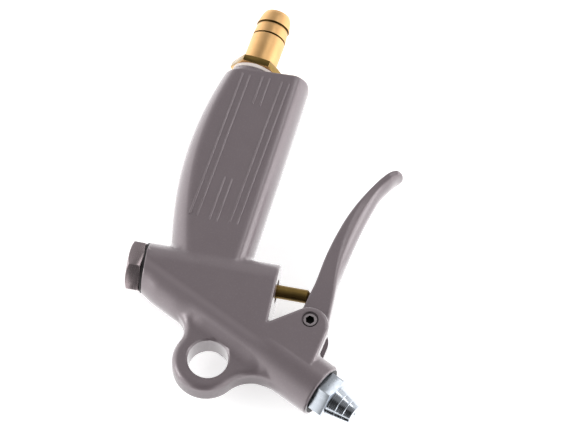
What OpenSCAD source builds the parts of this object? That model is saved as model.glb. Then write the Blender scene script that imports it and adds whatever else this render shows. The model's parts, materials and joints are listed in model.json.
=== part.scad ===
// Pneumatic air duster: a die-cast grip and valve body, a finger lever and a nozzle.
// The origin is the centre of the hanging eye, in the middle plane of the body.
// X runs along the valve's centre line towards the lever, Y runs up the grip, and Z runs across
// the body. The duster lies on its side, so Z points up.

/* [Hanging eye] */
// Radius of the hole that the duster hangs by
eye_r = 8; // [6:0.25:9]
// Outside radius of the ring round that hole
ring_r = 13.4; // [12:0.2:16]
// Half of the ring's thickness
ring_half = 5.7; // [4.5:0.1:7]
// Rounding of the ring's outer edges
ring_edge_r = 3.2; // [1:0.2:4]
// Rounding where the ring runs into the body, on the plug's side
rear_web_r = 8.5; // [7:0.5:10]
// Rounding where the ring runs into the barrel
front_web_r = 13.5; // [12:0.5:16]

/* [Valve chamber] */
// Height of the valve's centre line above the eye's centre
valve_y = 36.3; // [35:0.1:38]
// Distance of the chamber's rear face behind the eye's centre
chamber_rear = 32.8; // [31:0.2:36]
// Distance of the front face ahead of the eye's centre
chamber_front = 20.2; // [19.4:0.2:21]
// Radius of the round rear end
chamber_r = 10.3; // [10:0.1:11.5]
// Half of the thickness across the body's flat sides
flank_half = 10.8; // [10.5:0.1:12]
// Rounding of the front block's edges
block_edge_r = 1.4; // [0.8:0.2:2]
// Depth of the front face below the valve's centre line
block_drop = 18.8; // [18:0.2:20]
// Radius of the pressure chamber's bore
chamber_bore_r = 7.2; // [7:0.1:7.6]

/* [Barrel] */
// Where the middle of the barrel's end face lies ahead of the eye
barrel_end_x = 45.9; // [45:0.2:48]
// Depth of that middle below the eye's centre
barrel_end_drop = 2.6; // [2:0.2:3.2]
// Angle by which the barrel falls away from the valve's centre line
barrel_fall = 27; // [26:0.5:28]
// Radius of the barrel at its end
barrel_r = 11; // [10.9:0.1:12]
// Rounding of the barrel's front edge
barrel_edge_r = 1.5; // [0.6:0.1:1.7]
// Radius of the air passage along the barrel
passage_r = 3.4; // [2.5:0.1:3.8]

/* [Grip] */
// Length of the grip from the valve's centre line to its top face
grip_len = 93.9; // [85:0.5:110]
// Angle by which the grip leans towards the lever
grip_rake = 6.8; // [5.5:0.2:8]
// Where the grip's centre line meets the valve's, behind the eye
grip_foot = 18.8; // [18:0.2:19.6]
// Furthest reach of the grip's back behind its centre line
grip_back = 15.3; // [14:0.2:17]
// Reach of the grip's front ahead of its centre line, at its foot
grip_front = 25.9; // [24:0.2:27]
// Half of the grip's thickness
grip_half = 9.7; // [9.2:0.1:10.2]
// Rounding of the grip's long edges
grip_edge_r = 5.6; // [4.5:0.1:6.5]
// Rounding of the grip's top edge, front and back
grip_top_r = 3.5; // [1.5:0.25:4.5]
// Rounding of the grip's top edge at the sides
grip_top_side_r = 0.9; // [0.5:0.1:1.5]
// Width of a raised rib on the grip's sides
rib_w = 0.8; // [0.5:0.1:1.2]
// Height of a raised rib
rib_h = 0.3; // [0.2:0.05:0.5]
// Spacing of the two ribs in a pair
rib_pitch = 3; // [2.2:0.1:3.6]
// Spacing of the pairs of ribs
rib_pair_pitch = 8.2; // [7.5:0.1:8.8]
// Where the middle pair lies ahead of the grip's centre line
rib_middle = 6.3; // [5.6:0.1:7]

/* [Ears and pivot] */
// Where the lever's pivot lies ahead of the eye
pivot_x = 36.3; // [35.6:0.1:37]
// Height of the pivot above the eye's centre
pivot_y = 22; // [21.6:0.1:22.6]
// Rounding of the ears' tops
ear_r = 7.8; // [7.2:0.1:8.4]
// Depth of that rounding's centre below the pivot
ear_drop = 2.2; // [1.6:0.1:2.8]
// Half of the width of the slot between the ears
slot_half = 6; // [5.6:0.1:6.4]
// Height of the slot's floor above the barrel's centre line
slot_floor = 9.2; // [8.8:0.1:9.6]
// Radius of the pivot screw
screw_r = 2.75; // [2.4:0.05:3]
// Radius of the counterbores round the screw's ends
counterbore_r = 3.4; // [3.3:0.05:3.8]
// Depth of the counterbores
counterbore_depth = 1.1; // [0.6:0.1:1.8]
// Width across the flats of the screw's hexagon socket
socket_af = 3.2; // [2.4:0.1:3.6]
// Depth of the hexagon socket
socket_depth = 2.4; // [1.5:0.1:3.5]
// Wall of the bush that turns on the screw
bush_wall = 1.25; // [0.8:0.05:1.5]

/* [Lever] */
// Height of the lever's tip above the pivot
lever_len = 73.5; // [68:0.5:80]
// Half of the lever's width
lever_half = 5.7; // [5:0.1:5.7]
// Radius of the lever's boss round the pivot
boss_r = 6; // [5.2:0.1:6.4]
// Reach of the lever's straight front ahead of the pivot
heel_front = 6.9; // [6.8:0.1:7.8]
// Gap at rest between the lever's stop toe and the slot's floor
toe_gap = 0.3; // [0.2:0.05:0.5]
// Length of the stop toe along the slot's floor
toe_len = 3.7; // [2.5:0.1:4.5]

/* [Push pin] */
// Radius of the push pin
pin_r = 2.72; // [2.4:0.02:2.9]
// Radius of the thin stem that reaches through the seat
stem_r = 1.5; // [1.2:0.05:1.7]
// Chamfer of the pin's tip
tip_chamfer = 0.9; // [0.5:0.1:1.1]
// Gap at rest between the pin's tip and the lever
tip_gap = 0.1; // [0.05:0.05:0.3]
// Wall of the pin's guide bush
guide_wall = 2; // [1.6:0.1:2.4]
// Length of the guide bush
guide_len = 8.6; // [7:0.2:9.4]
// Depth of the guide bush behind the front face
guide_depth = 0.9; // [0.5:0.1:1.5]

/* [Valve] */
// Where the seat's rear face lies behind the eye's centre
seat_x = 6.3; // [5.8:0.1:6.8]
// Thickness of the seat ring
seat_len = 3.1; // [2.4:0.1:3.4]
// Radius of the hole through the seat
seat_hole_r = 3.4; // [3:0.1:3.7]
// Outside radius of the seat ring
seat_r = 5.9; // [5.4:0.1:6.2]
// Thickness of the rubber seal on the poppet
seal_len = 1.8; // [1.4:0.1:2.2]
// Outside radius of the poppet's seal
seal_r = 5.2; // [4.8:0.1:5.4]
// Thickness of the poppet's flange
flange_len = 1.4; // [1:0.1:1.8]
// Outside radius of the flange
flange_r = 5.8; // [5.5:0.1:6.2]
// Length of the poppet's tail inside the spring
tail_len = 8.4; // [6:0.2:9.4]
// Radius of that tail
tail_r = 2.6; // [2.2:0.1:2.8]
// Length of the retaining nut
nut_len = 1.8; // [1.4:0.1:2]
// Width across the nut's flats
nut_af = 4.6; // [4.2:0.1:4.9]
// Mean radius of the spring's turns
spring_r = 3.9; // [3.7:0.1:4.2]
// Radius of the spring's wire
wire_r = 0.45; // [0.35:0.05:0.55]
// Number of turns in the spring
spring_turns = 9; // [7:1:11]

/* [Plug] */
// Width across the plug's flats
plug_af = 19; // [18:0.5:20]
// Thickness of the plug's hexagon
plug_head = 6.1; // [5:0.1:8]
// Angle by which the tightened plug stands turned
plug_turn = 22.6; // [0:0.2:59]
// Radius of the plug's threaded stem
plug_stem_r = 8.2; // [8:0.1:8.5]
// Length of the plug's stem
plug_stem = 9.4; // [8:0.2:10]
// Radius of the spring's cup in the plug
cup_r = 5.2; // [5:0.1:5.8]
// Thickness of the plug's sealing ring
plug_seal_t = 0.5; // [0.3:0.1:1]

/* [Hose barb] */
// Radius over the barb's rings
barb_r = 7; // [6.6:0.1:7.6]
// Length of the barb above its hexagon
barb_len = 25.9; // [22:0.5:32]
// Width across the flats of the barb's hexagon
barb_af = 19; // [18:0.5:20]
// Thickness of that hexagon
barb_hex_t = 3.3; // [2.5:0.1:5]
// Radius of the bore through the barb
barb_bore_r = 4.5; // [3.5:0.1:5]
// Radius of the barb's threaded stem
barb_stem_r = 6.6; // [6.4:0.1:7]
// Length of the barb's stem
barb_stem = 11; // [9:0.5:14]
// Outside radius of the gasket under the hexagon
gasket_r = 8.8; // [8.2:0.1:9.2]
// Thickness of the gasket
gasket_t = 1.5; // [1:0.1:2]
// Depth of the barb's grooves
groove_depth = 0.45; // [0.3:0.05:0.7]
// Width of the barb's grooves
groove_w = 0.8; // [0.5:0.1:1.2]

/* [Nozzle] */
// Width across the nozzle's flats
nozzle_af = 16.8; // [16:0.2:18]
// Angle by which the tightened nozzle stands turned
nozzle_turn = 18.5; // [0:0.5:59]
// Reach of the nozzle's hexagon past the barrel's end face
nozzle_hex = 6.2; // [5:0.1:8]
// Length of the nozzle's cone
cone_len = 9.8; // [8:0.2:14]
// Radius of the cone at its foot
cone_foot_r = 6.4; // [6:0.1:7]
// Radius of the cone at its tip
cone_tip_r = 3.9; // [3.2:0.1:4.4]
// Radius of the air jet's hole
jet_r = 0.9; // [0.6:0.05:1.4]
// Radius of the nozzle's threaded stem
nozzle_stem_r = 6.4; // [6:0.1:6.5]
// Length of the nozzle's stem
nozzle_stem = 11; // [9:0.5:13]
// Radius of the recess in the barrel's end face
recess_r = 9.2; // [9:0.1:9.3]
// Depth of that recess
recess_depth = 1; // [0.6:0.1:1.5]
// Thickness of the nozzle's sealing ring
nozzle_seal_t = 1.2; // [1.1:0.1:1.6]

/* [Clearances] */
// Radial play of a thread that is drawn as a plain cylinder
thread_play = 0.05; // [0.02:0.01:0.1]
// Radial play of a shaft that turns or slides
run_play = 0.05; // [0.02:0.01:0.08]
// Gap at rest between the poppet's seal and the seat
seal_gap = 0.05; // [0.02:0.01:0.1]

/* [Hidden] */
$fn = 72;

// Facets of a round child inside a hull
hull_fn = 32;
// Overrun of a cut past the face that it opens
over = 0.5;
// Thickness of a slice inside a hull
slice = 0.05;
// How much of the block's edge rounding a post's ends are softened by
soften_share = 0.7;
// How much of a hexagon's width is turned off its faces
turned_share = 0.015;
// Pitch of the spring's closed turns, in radii of its wire
closed_pitch = 2.2;
// Where the toe's middle lies ahead of the pivot, in radii of the boss
toe_place = 1.06;

cast_grey = "#746B6E";
plug_grey = "#4F4B4C";
brass = "#C79A45";
zinc = "#B9C3CC";
rubber = "#1B1B1C";
fibre = "#E8E4D8";
screw_black = "#2A2A2C";
spring_steel = "#8C9196";

// The valve's centre line meets these planes, measured ahead of the eye
seat_rear = -seat_x;
seat_front = seat_rear + seat_len;
seal_front = seat_rear - seal_gap;
seal_rear = seal_front - seal_len;
flange_rear = seal_rear - flange_len;
nut_front = seal_front + nut_len;
plug_face = -chamber_rear;
plug_tip = plug_face + plug_stem;
// Metal left between the spring's cup and the plug's head
cup_floor_t = 1.6;
cup_floor = plug_face + cup_floor_t;

// Outlet chamber between the seat and the pin's seal ring
guide_r = pin_r + guide_wall;
guide_front = chamber_front - guide_depth;
guide_rear = guide_front - guide_len;
oring_r = guide_wall / 2;
oring_rear = guide_rear - 2 * oring_r;
// Lip that holds the seal ring off the outlet chamber
lip_t = 1.2;
outlet_front = oring_rear - lip_t;
outlet_r = 4.2;

// Foot of the cross port that joins the outlet chamber to the barrel
port_x = (seat_front + outlet_front) / 2;
port_r = 2.2;

// A point beside the barrel's centre line: u ahead of the end face, v towards the grip
function by_barrel(u, v) = [
    barrel_end_x + u * cos(barrel_fall) + v * sin(barrel_fall),
    -barrel_end_drop - u * sin(barrel_fall) + v * cos(barrel_fall)
];
// The same point's u and v, from its x and y
function barrel_u(p) =
    (p[0] - barrel_end_x) * cos(barrel_fall) - (p[1] + barrel_end_drop) * sin(barrel_fall);
function barrel_v(p) =
    (p[0] - barrel_end_x) * sin(barrel_fall) + (p[1] + barrel_end_drop) * cos(barrel_fall);

port_top = [port_x, valve_y];
port_u = barrel_u(port_top);
port_v = barrel_v(port_top);
eye_u = barrel_u([0, 0]);
eye_v = barrel_v([0, 0]);

// How far along the barrel's centre line its round part starts, and its radius there
barrel_root_share = 1.1;
barrel_root = eye_u * barrel_root_share;
barrel_root_narrowing = 1;
barrel_root_r = barrel_r - barrel_root_narrowing;
// Where the flat sides end on the barrel
flank_share = 0.8;
flank_u = eye_u * flank_share;
flank_disc_narrowing = 0.5;
flank_disc_r = barrel_r - flank_disc_narrowing;

// Where the boss's slot begins behind the ears, and where it ends past them
slot_rear_u = barrel_u([pivot_x, pivot_y]) - 2 * boss_r;
slot_front_u = boss_r;

// Outline of the grip: share of its length, of its back reach and of its front reach
grip_shares = [
    [0.03, 0.34, 1.00],
    [0.127, 0.52, 0.995],
    [0.304, 0.785, 0.975],
    [0.442, 0.942, 0.958],
    [0.583, 0.998, 0.945],
    [0.677, 0.99, 0.938],
    [0.772, 0.965, 0.93],
    [0.868, 0.905, 0.92],
    [0.94, 0.83, 0.91]
];
// Outline at the grip's top face, as shares of the same reaches
grip_top_shares = [0.765, 0.9];
// Steps of the rounding round the grip's top, as shares of a right angle
top_step_shares = [0, 0.5, 1];

// Each pair of ribs: its place in spacings, and where it starts and ends along the grip
rib_shares = [
    [-1, 0.237, 0.955],
    [0, 0.232, 0.45],
    [0, 0.82, 0.965],
    [1, 0.248, 0.965]
];

// The lever's blade: back edge, front edge, crown and half width. Edges are shares of its
// length, crowns are shares of the half width
blade_shares = [
    [-0.0544, 0.1007, 0.0935, 0.06, 0.07, 1],
    [-0.0332, 0.1959, 0.0935, 0.19, 0.09, 1],
    [-0.0184, 0.2626, 0.0885, 0.279, 0.17, 1],
    [-0.001, 0.384, 0.0815, 0.381, 0.43, 1],
    [0.015, 0.468, 0.082, 0.463, 0.61, 1],
    [0.038, 0.561, 0.09, 0.555, 0.73, 1],
    [0.075, 0.679, 0.113, 0.671, 0.76, 1],
    [0.127, 0.797, 0.15, 0.789, 0.71, 1],
    [0.195, 0.917, 0.207, 0.898, 0.62, 1],
    [0.248, 0.985, 0.256, 0.957, 0.47, 0.96],
    [0.286, 0.999, 0.291, 0.978, 0.3, 0.78],
    [0.315, 0.9995, 0.3165, 0.9905, 0.1, 0.45]
];
// Places across the blade where its crown is drawn, as shares of the half width
crown_shares = [1, 0.85, 0.6, 0.3, 0, -0.3, -0.6, -0.85, -1];

// Half of the pin's flat tip, which touches the lever's back face at its lower edge
tip_r = pin_r - tip_chamfer;
// The back face's x at a height above the pivot, measured from the pivot
function blade_back(h) =
    let (low = blade_shares[0] * lever_len, high = blade_shares[2] * lever_len)
    low[0] + (high[0] - low[0]) * (h - low[1]) / (high[1] - low[1]);
tip_x = pivot_x + blade_back(valve_y - pivot_y - tip_r) - tip_gap;

bush_r = screw_r + run_play + bush_wall;
// Height and width of the seat's lip
lip_rise = 0.6;
top_hex_z = grip_len + gasket_t;

// Local z runs along the valve's centre line, towards the lever, from x
module on_valve(x) translate([x, valve_y, 0]) rotate([0, 90, 0]) children();
// Local z runs out of the barrel, from u ahead of its end face
module on_barrel(u)
    translate([barrel_end_x, -barrel_end_drop, 0])
        rotate([0, 0, -barrel_fall]) rotate([0, 90, 0]) translate([0, 0, u]) children();
// Local z runs up the grip, from t above the valve's centre line; local x runs to the lever
module on_grip(t)
    translate([-grip_foot, valve_y, 0])
        rotate([0, 0, -grip_rake]) rotate([-90, 0, 0]) translate([0, 0, t]) children();

module tube(r, hole, h) difference() {
    cylinder(r = r, h = h);
    translate([0, 0, -over]) cylinder(r = hole, h = h + 2 * over);
}

// A hexagon bar with its corners turned off at one or both ends
module hexagon(af, h, chamfer_low = true) intersection() {
    corner_r = af / 2 / cos(30);
    turned_r = af / 2 - turned_share * af;
    fall = (corner_r - turned_r) * tan(30);
    cylinder(r = corner_r, h = h, $fn = 6);
    rotate_extrude() polygon([
        [0, 0], [chamfer_low ? turned_r : corner_r + over, 0],
        [corner_r + over, chamfer_low ? fall + over * tan(30) : 0],
        [corner_r + over, h - fall - over * tan(30)], [turned_r, h], [0, h]
    ]);
}

// An upright post with softened ends, used at the corners of a hull
module post(p, r, half) translate([p[0], p[1], 0]) {
    softened = block_edge_r * soften_share;
    cylinder(r = r, h = 2 * (half - softened), center = true, $fn = hull_fn);
    cylinder(r = max(r - softened, slice), h = 2 * half, center = true, $fn = hull_fn);
}

// One slice of the grip, from its back reach to its front reach
module grip_slice(t, back, front, half)
    for (w = [-back + grip_edge_r, front - grip_edge_r], side = [-1, 1])
        on_grip(t) translate([w, side * (half - grip_edge_r), -slice])
            cylinder(r = grip_edge_r, h = slice, $fn = hull_fn);

module grip_form() hull() {
    for (s = grip_shares)
        grip_slice(s[0] * grip_len, s[1] * grip_back, s[2] * grip_front, grip_half);
    for (a = top_step_shares)
        grip_slice(
            grip_len - grip_top_r * (1 - sin(90 * a)),
            grip_top_shares[0] * grip_back - grip_top_r * (1 - cos(90 * a)),
            grip_top_shares[1] * grip_front - grip_top_r * (1 - cos(90 * a)),
            grip_half - grip_top_side_r * (1 - cos(90 * a))
        );
}

// Pairs of fine raised ribs on both sides of the grip
module grip_ribs()
    for (s = rib_shares, pair = [-1, 1], side = [-1, 1])
        on_grip(s[1] * grip_len)
            translate([
                rib_middle + s[0] * rib_pair_pitch + pair * rib_pitch / 2 - rib_w / 2,
                side * grip_half - rib_h, 0
            ])
                cube([rib_w, 2 * rib_h, (s[2] - s[1]) * grip_len]);

// The sides run from the round chamber to the square foot of the block and the barrel
module flank_form() hull() {
    on_valve(plug_face) cylinder(r = chamber_r, h = slice, $fn = 48);
    on_valve(chamber_front - block_edge_r) cylinder(r = chamber_r, h = slice, $fn = 48);
    on_valve(chamber_front - slice) cylinder(r = chamber_r - block_edge_r, h = slice, $fn = 48);
    post([chamber_front - block_edge_r, valve_y - block_drop + block_edge_r], block_edge_r, flank_half);
    on_barrel(flank_u) cylinder(r = flank_disc_r, h = slice, $fn = 48);
}

// Both ears and the web under them, before the slot is cut
module ear_form() hull() {
    foot_rear = by_barrel(flank_u, block_edge_r);
    foot_front = by_barrel(-ear_r, block_edge_r);
    shoulder = [chamber_front, valve_y - block_drop - block_edge_r];
    top = [pivot_x, pivot_y - ear_drop];
    post(foot_rear, block_edge_r, flank_half);
    post(foot_front, block_edge_r, flank_half);
    post(shoulder, block_edge_r, flank_half);
    post(top, ear_r, flank_half);
}

module barrel_form() on_barrel(0) rotate_extrude() union() {
    polygon([
        [0, barrel_root], [barrel_root_r, barrel_root], [barrel_r, flank_u],
        [barrel_r, -barrel_edge_r], [barrel_r - barrel_edge_r, -barrel_edge_r],
        [barrel_r - barrel_edge_r, 0], [0, 0]
    ]);
    intersection() {
        translate([barrel_r - barrel_edge_r, -barrel_edge_r]) circle(r = barrel_edge_r);
        translate([barrel_r - barrel_edge_r - slice, -barrel_edge_r - slice])
            square(barrel_edge_r + 2 * slice);
    }
}

// The ring round the hanging hole, with round outer edges
module ring_form() rotate_extrude() {
    flat_r = ring_r - ring_edge_r;
    polygon([
        [0, -ring_half], [flat_r, -ring_half], [flat_r, -ring_half + ring_edge_r],
        [ring_r, -ring_half + ring_edge_r], [ring_r, ring_half - ring_edge_r],
        [flat_r, ring_half - ring_edge_r], [flat_r, ring_half], [0, ring_half]
    ]);
    for (side = [-1, 1]) intersection() {
        translate([flat_r, side * (ring_half - ring_edge_r)]) circle(r = ring_edge_r);
        translate([flat_r - slice, -ring_half - slice])
            square([ring_edge_r + 2 * slice, 2 * ring_half + 2 * slice]);
    }
}

// Centre of a round that touches the ring and the barrel's lower side
function web_centre(r, side) =
    let (v = -flank_disc_r - r)
    by_barrel(eye_u + side * sqrt(pow(ring_r + r, 2) - pow(v - eye_v, 2)), v);

// The web that carries the ring, hollowed on both sides
module web_form() {
    rear = web_centre(rear_web_r, -1);
    front = web_centre(front_web_r, 1);
    rear_top = by_barrel(barrel_u(rear), -flank_disc_r / 2);
    front_top = by_barrel(barrel_u(front), -flank_disc_r / 2);
    translate([0, 0, -ring_half + ring_edge_r / 3])
        linear_extrude(2 * ring_half - ring_edge_r / 1.5) difference() {
            polygon([rear, [0, 0], front, front_top, rear_top]);
            translate(rear) circle(r = rear_web_r);
            translate(front) circle(r = front_web_r);
        }
}

module body_bores() {
    // Hanging eye
    translate([0, 0, -ring_half - over]) cylinder(r = eye_r, h = 2 * (ring_half + over));
    // Plug's thread, pressure chamber, seat's pocket, outlet chamber and guide's bore
    on_valve(plug_face - over)
        cylinder(r = plug_stem_r + thread_play, h = plug_stem + over + thread_play);
    on_valve(plug_face) cylinder(r = chamber_bore_r, h = seat_rear - plug_face);
    on_valve(seat_rear - over) cylinder(r = seat_r, h = seat_len + over);
    on_valve(seat_front - over) cylinder(r = outlet_r, h = outlet_front - seat_front + over);
    on_valve(outlet_front - over)
        cylinder(r = pin_r + 6 * run_play, h = lip_t + 2 * over);
    on_valve(oring_rear) cylinder(r = guide_r, h = chamber_front - oring_rear + over);
    // Air passage down the grip, and the barb's thread at its top
    on_grip(0) cylinder(r = barb_bore_r, h = grip_len);
    on_grip(grip_len - barb_stem - over)
        cylinder(r = barb_stem_r + thread_play, h = barb_stem + 2 * over);
    // Cross port and air passage along the barrel, then the nozzle's thread and recess
    translate(concat(by_barrel(port_u, 0), 0)) rotate([0, 0, -barrel_fall]) rotate([-90, 0, 0])
        cylinder(r = port_r, h = port_v);
    on_barrel(port_u - port_r) cylinder(r = passage_r, h = port_r - port_u);
    on_barrel(-recess_depth - nozzle_stem)
        cylinder(r = nozzle_stem_r + thread_play, h = nozzle_stem + recess_depth + over);
    on_barrel(-recess_depth) cylinder(r = recess_r, h = recess_depth + over);
    // Slot between the ears
    translate([barrel_end_x, -barrel_end_drop, 0]) rotate([0, 0, -barrel_fall])
        translate([slot_rear_u, slot_floor, -slot_half])
            cube([slot_front_u - slot_rear_u, 4 * ear_r, 2 * slot_half]);
    // Pivot screw's hole, counterbored on both sides
    translate([pivot_x, pivot_y, -flank_half - over])
        cylinder(r = screw_r + thread_play, h = 2 * (flank_half + over));
    for (side = [0, 1]) mirror([0, 0, side])
        translate([pivot_x, pivot_y, flank_half - counterbore_depth])
            cylinder(r = counterbore_r, h = counterbore_depth + over);
}

module body() color(cast_grey) difference() {
    union() {
        grip_form();
        grip_ribs();
        flank_form();
        barrel_form();
        ear_form();
        ring_form();
        web_form();
    }
    body_bores();
}

module valve_plug() color(plug_grey) difference() {
    union() {
        on_valve(plug_face - plug_seal_t - plug_head)
            rotate([0, 0, plug_turn]) hexagon(plug_af, plug_head);
        on_valve(plug_face - plug_seal_t - slice)
            cylinder(r = plug_stem_r, h = plug_stem + plug_seal_t + slice);
    }
    on_valve(cup_floor) cylinder(r = cup_r, h = plug_stem);
}

module plug_seal() color(rubber)
    on_valve(plug_face - plug_seal_t)
        tube(chamber_r - 4 * thread_play, plug_stem_r + thread_play, plug_seal_t);

// The spring's wire: closed end turns, open turns between them
spring_start = cup_floor + wire_r + run_play;
spring_end = flange_rear - wire_r - run_play;
spring_sides = 6;
spring_rings = 16;
// Share of the length at a share of the turns: flat at both ends, even between them
function spring_rise(s) =
    let (t = s * spring_turns, closed = closed_pitch * wire_r, span = spring_end - spring_start)
    t < 1 ? t * closed
        : t > spring_turns - 1 ? span - (spring_turns - t) * closed
        : closed + (t - 1) / (spring_turns - 2) * (span - 2 * closed);
function spring_point(i, k) =
    let (n = spring_turns * spring_rings, a = 360 * i / spring_rings,
        b = 360 * k / spring_sides, r = spring_r + wire_r * cos(b))
    [r * cos(a), r * sin(a), spring_rise(i / n) + wire_r * sin(b)];

module valve_spring() color(spring_steel) on_valve(spring_start) {
    n = spring_turns * spring_rings;
    points = [for (i = [0:n], k = [0:spring_sides - 1]) spring_point(i, k)];
    sides = [for (i = [0:n - 1], k = [0:spring_sides - 1])
        let (k2 = (k + 1) % spring_sides, a = i * spring_sides, b = a + spring_sides)
        each [[a + k, a + k2, b + k], [a + k2, b + k2, b + k]]];
    first = [for (k = [1:spring_sides - 2]) [0, k + 1, k]];
    last = [for (k = [1:spring_sides - 2])
        [n * spring_sides, n * spring_sides + k, n * spring_sides + k + 1]];
    polyhedron(points, concat(sides, first, last), convexity = 10);
}

module valve_poppet() color(brass) on_valve(flange_rear) {
    translate([0, 0, -tail_len]) cylinder(r = tail_r, h = tail_len);
    cylinder(r = flange_r, h = flange_len);
    cylinder(r = stem_r, h = nut_front - flange_rear);
}

module poppet_seal() color(rubber)
    on_valve(seal_rear) tube(seal_r, stem_r + run_play, seal_len);

module poppet_nut() color(brass) on_valve(seal_front) difference() {
    hexagon(nut_af, nut_len);
    translate([0, 0, -over]) cylinder(r = stem_r + run_play, h = nut_len + 2 * over);
}

// Pressed brass ring with a narrow raised lip for the rubber to close on
module valve_seat() color(brass) on_valve(seat_rear) difference() {
    union() {
        translate([0, 0, lip_rise]) cylinder(r = seat_r, h = seat_len - lip_rise);
        cylinder(r = seat_hole_r + lip_rise, h = seat_len);
    }
    translate([0, 0, -over]) cylinder(r = seat_hole_r, h = seat_len + 2 * over);
}
module push_pin() color(brass) on_valve(0) rotate_extrude() polygon([
    [0, nut_front], [stem_r, nut_front], [stem_r, seat_front + stem_r],
    [pin_r, seat_front + stem_r + pin_r], [pin_r, tip_x - tip_chamfer],
    [tip_r, tip_x], [0, tip_x]
]);

module pin_guide() color(brass) on_valve(guide_rear) tube(guide_r, pin_r + run_play, guide_len);

module pin_oring() color(rubber) on_valve(oring_rear + oring_r)
    rotate_extrude() translate([pin_r + oring_r, 0]) circle(r = oring_r - run_play, $fn = 32);

// The straight lower part of the lever: the boss, the heel and the stop toe
module lever_heel() {
    back = blade_shares[1] * lever_len;
    low_back = blade_shares[0] * lever_len;
    toe_v = slot_floor + toe_gap;
    toe_mid_u = barrel_u([pivot_x, pivot_y]) + boss_r * toe_place;
    toe_back = by_barrel(toe_mid_u - toe_len / 2, toe_v) - [pivot_x, pivot_y];
    toe_front = by_barrel(toe_mid_u + toe_len / 2, toe_v) - [pivot_x, pivot_y];
    translate([pivot_x, pivot_y, -lever_half]) linear_extrude(2 * lever_half) {
        circle(r = boss_r);
        polygon([
            [back[0], back[1]], [low_back[0], low_back[1]], [-boss_r, 0], [0, -boss_r],
            toe_back, toe_front, [boss_r, -boss_r * 0.8], [heel_front - 0.1 * boss_r, -0.3 * boss_r],
            [heel_front, boss_r * 0.1], [heel_front, back[1]]
        ]);
    }
}

// One section across the blade: the crowned front first, then the two back corners
function blade_section(s) =
    let (half = lever_half * s[5], back = [s[0], s[1]] * lever_len, front = [s[2], s[3]] * lever_len,
        out = (front - back) / norm(front - back), crown = s[4] * lever_half)
    concat(
        [for (c = crown_shares) concat(front + out * crown * (1 - c * c), c * half)],
        [concat(back, -half), concat(back, half)]
    );

module lever_blade() {
    m = len(crown_shares) + 2;
    n = len(blade_shares);
    points = [for (s = blade_shares) each blade_section(s)];
    sides = [for (i = [0:n - 2], k = [0:m - 1])
        let (k2 = (k + 1) % m, a = i * m, b = a + m)
        each [[a + k, b + k, a + k2], [a + k2, b + k, b + k2]]];
    low = [for (k = [1:m - 2]) [0, k, k + 1]];
    tip = [for (k = [1:m - 2]) [(n - 1) * m, (n - 1) * m + k + 1, (n - 1) * m + k]];
    translate([pivot_x, pivot_y, 0]) polyhedron(points, concat(sides, low, tip), convexity = 6);
}

module lever() color(cast_grey) difference() {
    union() {
        lever_heel();
        lever_blade();
    }
    translate([pivot_x, pivot_y, -lever_half - over]) cylinder(r = bush_r, h = 2 * (lever_half + over));
}

module pivot_bush() color(brass) translate([pivot_x, pivot_y, -lever_half])
    tube(bush_r, screw_r + run_play, 2 * lever_half);

module pivot_screw() color(screw_black) translate([pivot_x, pivot_y, 0]) difference() {
    reach = flank_half - counterbore_depth / 2;
    translate([0, 0, -reach]) cylinder(r = screw_r, h = 2 * reach);
    translate([0, 0, reach - socket_depth])
        cylinder(r = socket_af / 2 / cos(30), h = socket_depth + over, $fn = 6);
}

// Brass hose tail: rings and grooves above a thin hexagon, threaded stem below
module hose_barb() color(brass) difference() {
    barb_foot = top_hex_z + barb_hex_t;
    ring_tops = [0.53, 0.74, 1] * barb_len;
    union() {
        on_grip(top_hex_z) hexagon(barb_af, barb_hex_t);
        on_grip(grip_len - barb_stem) cylinder(r = barb_stem_r, h = barb_stem + gasket_t + slice);
        on_grip(barb_foot) rotate_extrude() polygon([
            [0, -slice], [barb_r, -slice], [barb_r, ring_tops[0]],
            [barb_r - groove_depth, ring_tops[0]], [barb_r - groove_depth, ring_tops[0] + groove_w],
            [barb_r, ring_tops[0] + groove_w], [barb_r - groove_depth / 2, ring_tops[1]],
            [barb_r - groove_depth, ring_tops[1]], [barb_r - groove_depth, ring_tops[1] + groove_w],
            [barb_r, ring_tops[1] + groove_w], [barb_r - groove_depth, ring_tops[2] - 2 * groove_w],
            [barb_r - 2 * groove_w, ring_tops[2]], [0, ring_tops[2]]
        ]);
    }
    on_grip(grip_len - barb_stem - over)
        cylinder(r = barb_bore_r, h = barb_stem + gasket_t + barb_hex_t + barb_len + 2 * over);
}

module barb_gasket() color(fibre)
    on_grip(grip_len) tube(gasket_r, barb_stem_r + thread_play, gasket_t);

// Zinc-plated steel nozzle: hexagon, cone and a stepped bore down to the jet
module nozzle() color(zinc) difference() {
    hex_foot = nozzle_seal_t - recess_depth;
    union() {
        on_barrel(hex_foot)
            rotate([0, 0, nozzle_turn]) hexagon(nozzle_af, nozzle_hex - hex_foot);
        on_barrel(nozzle_hex - slice)
            cylinder(r1 = cone_foot_r, r2 = cone_tip_r, h = cone_len + slice);
        on_barrel(-nozzle_stem) cylinder(r = nozzle_stem_r, h = nozzle_stem + hex_foot + slice);
    }
    on_barrel(-nozzle_stem - over) cylinder(r = passage_r, h = nozzle_stem + nozzle_hex + over);
    on_barrel(nozzle_hex - slice) cylinder(r1 = passage_r, r2 = jet_r, h = cone_len / 2 + slice);
    on_barrel(nozzle_hex) cylinder(r = jet_r, h = cone_len + over);
}

module nozzle_seal() color(rubber)
    on_barrel(-recess_depth)
        tube(recess_r - thread_play, nozzle_stem_r + thread_play, nozzle_seal_t);

body();
valve_plug();
plug_seal();
valve_spring();
valve_poppet();
poppet_seal();
poppet_nut();
valve_seat();
push_pin();
pin_guide();
pin_oring();
lever();
pivot_bush();
pivot_screw();
hose_barb();
barb_gasket();
nozzle();
nozzle_seal();
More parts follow.
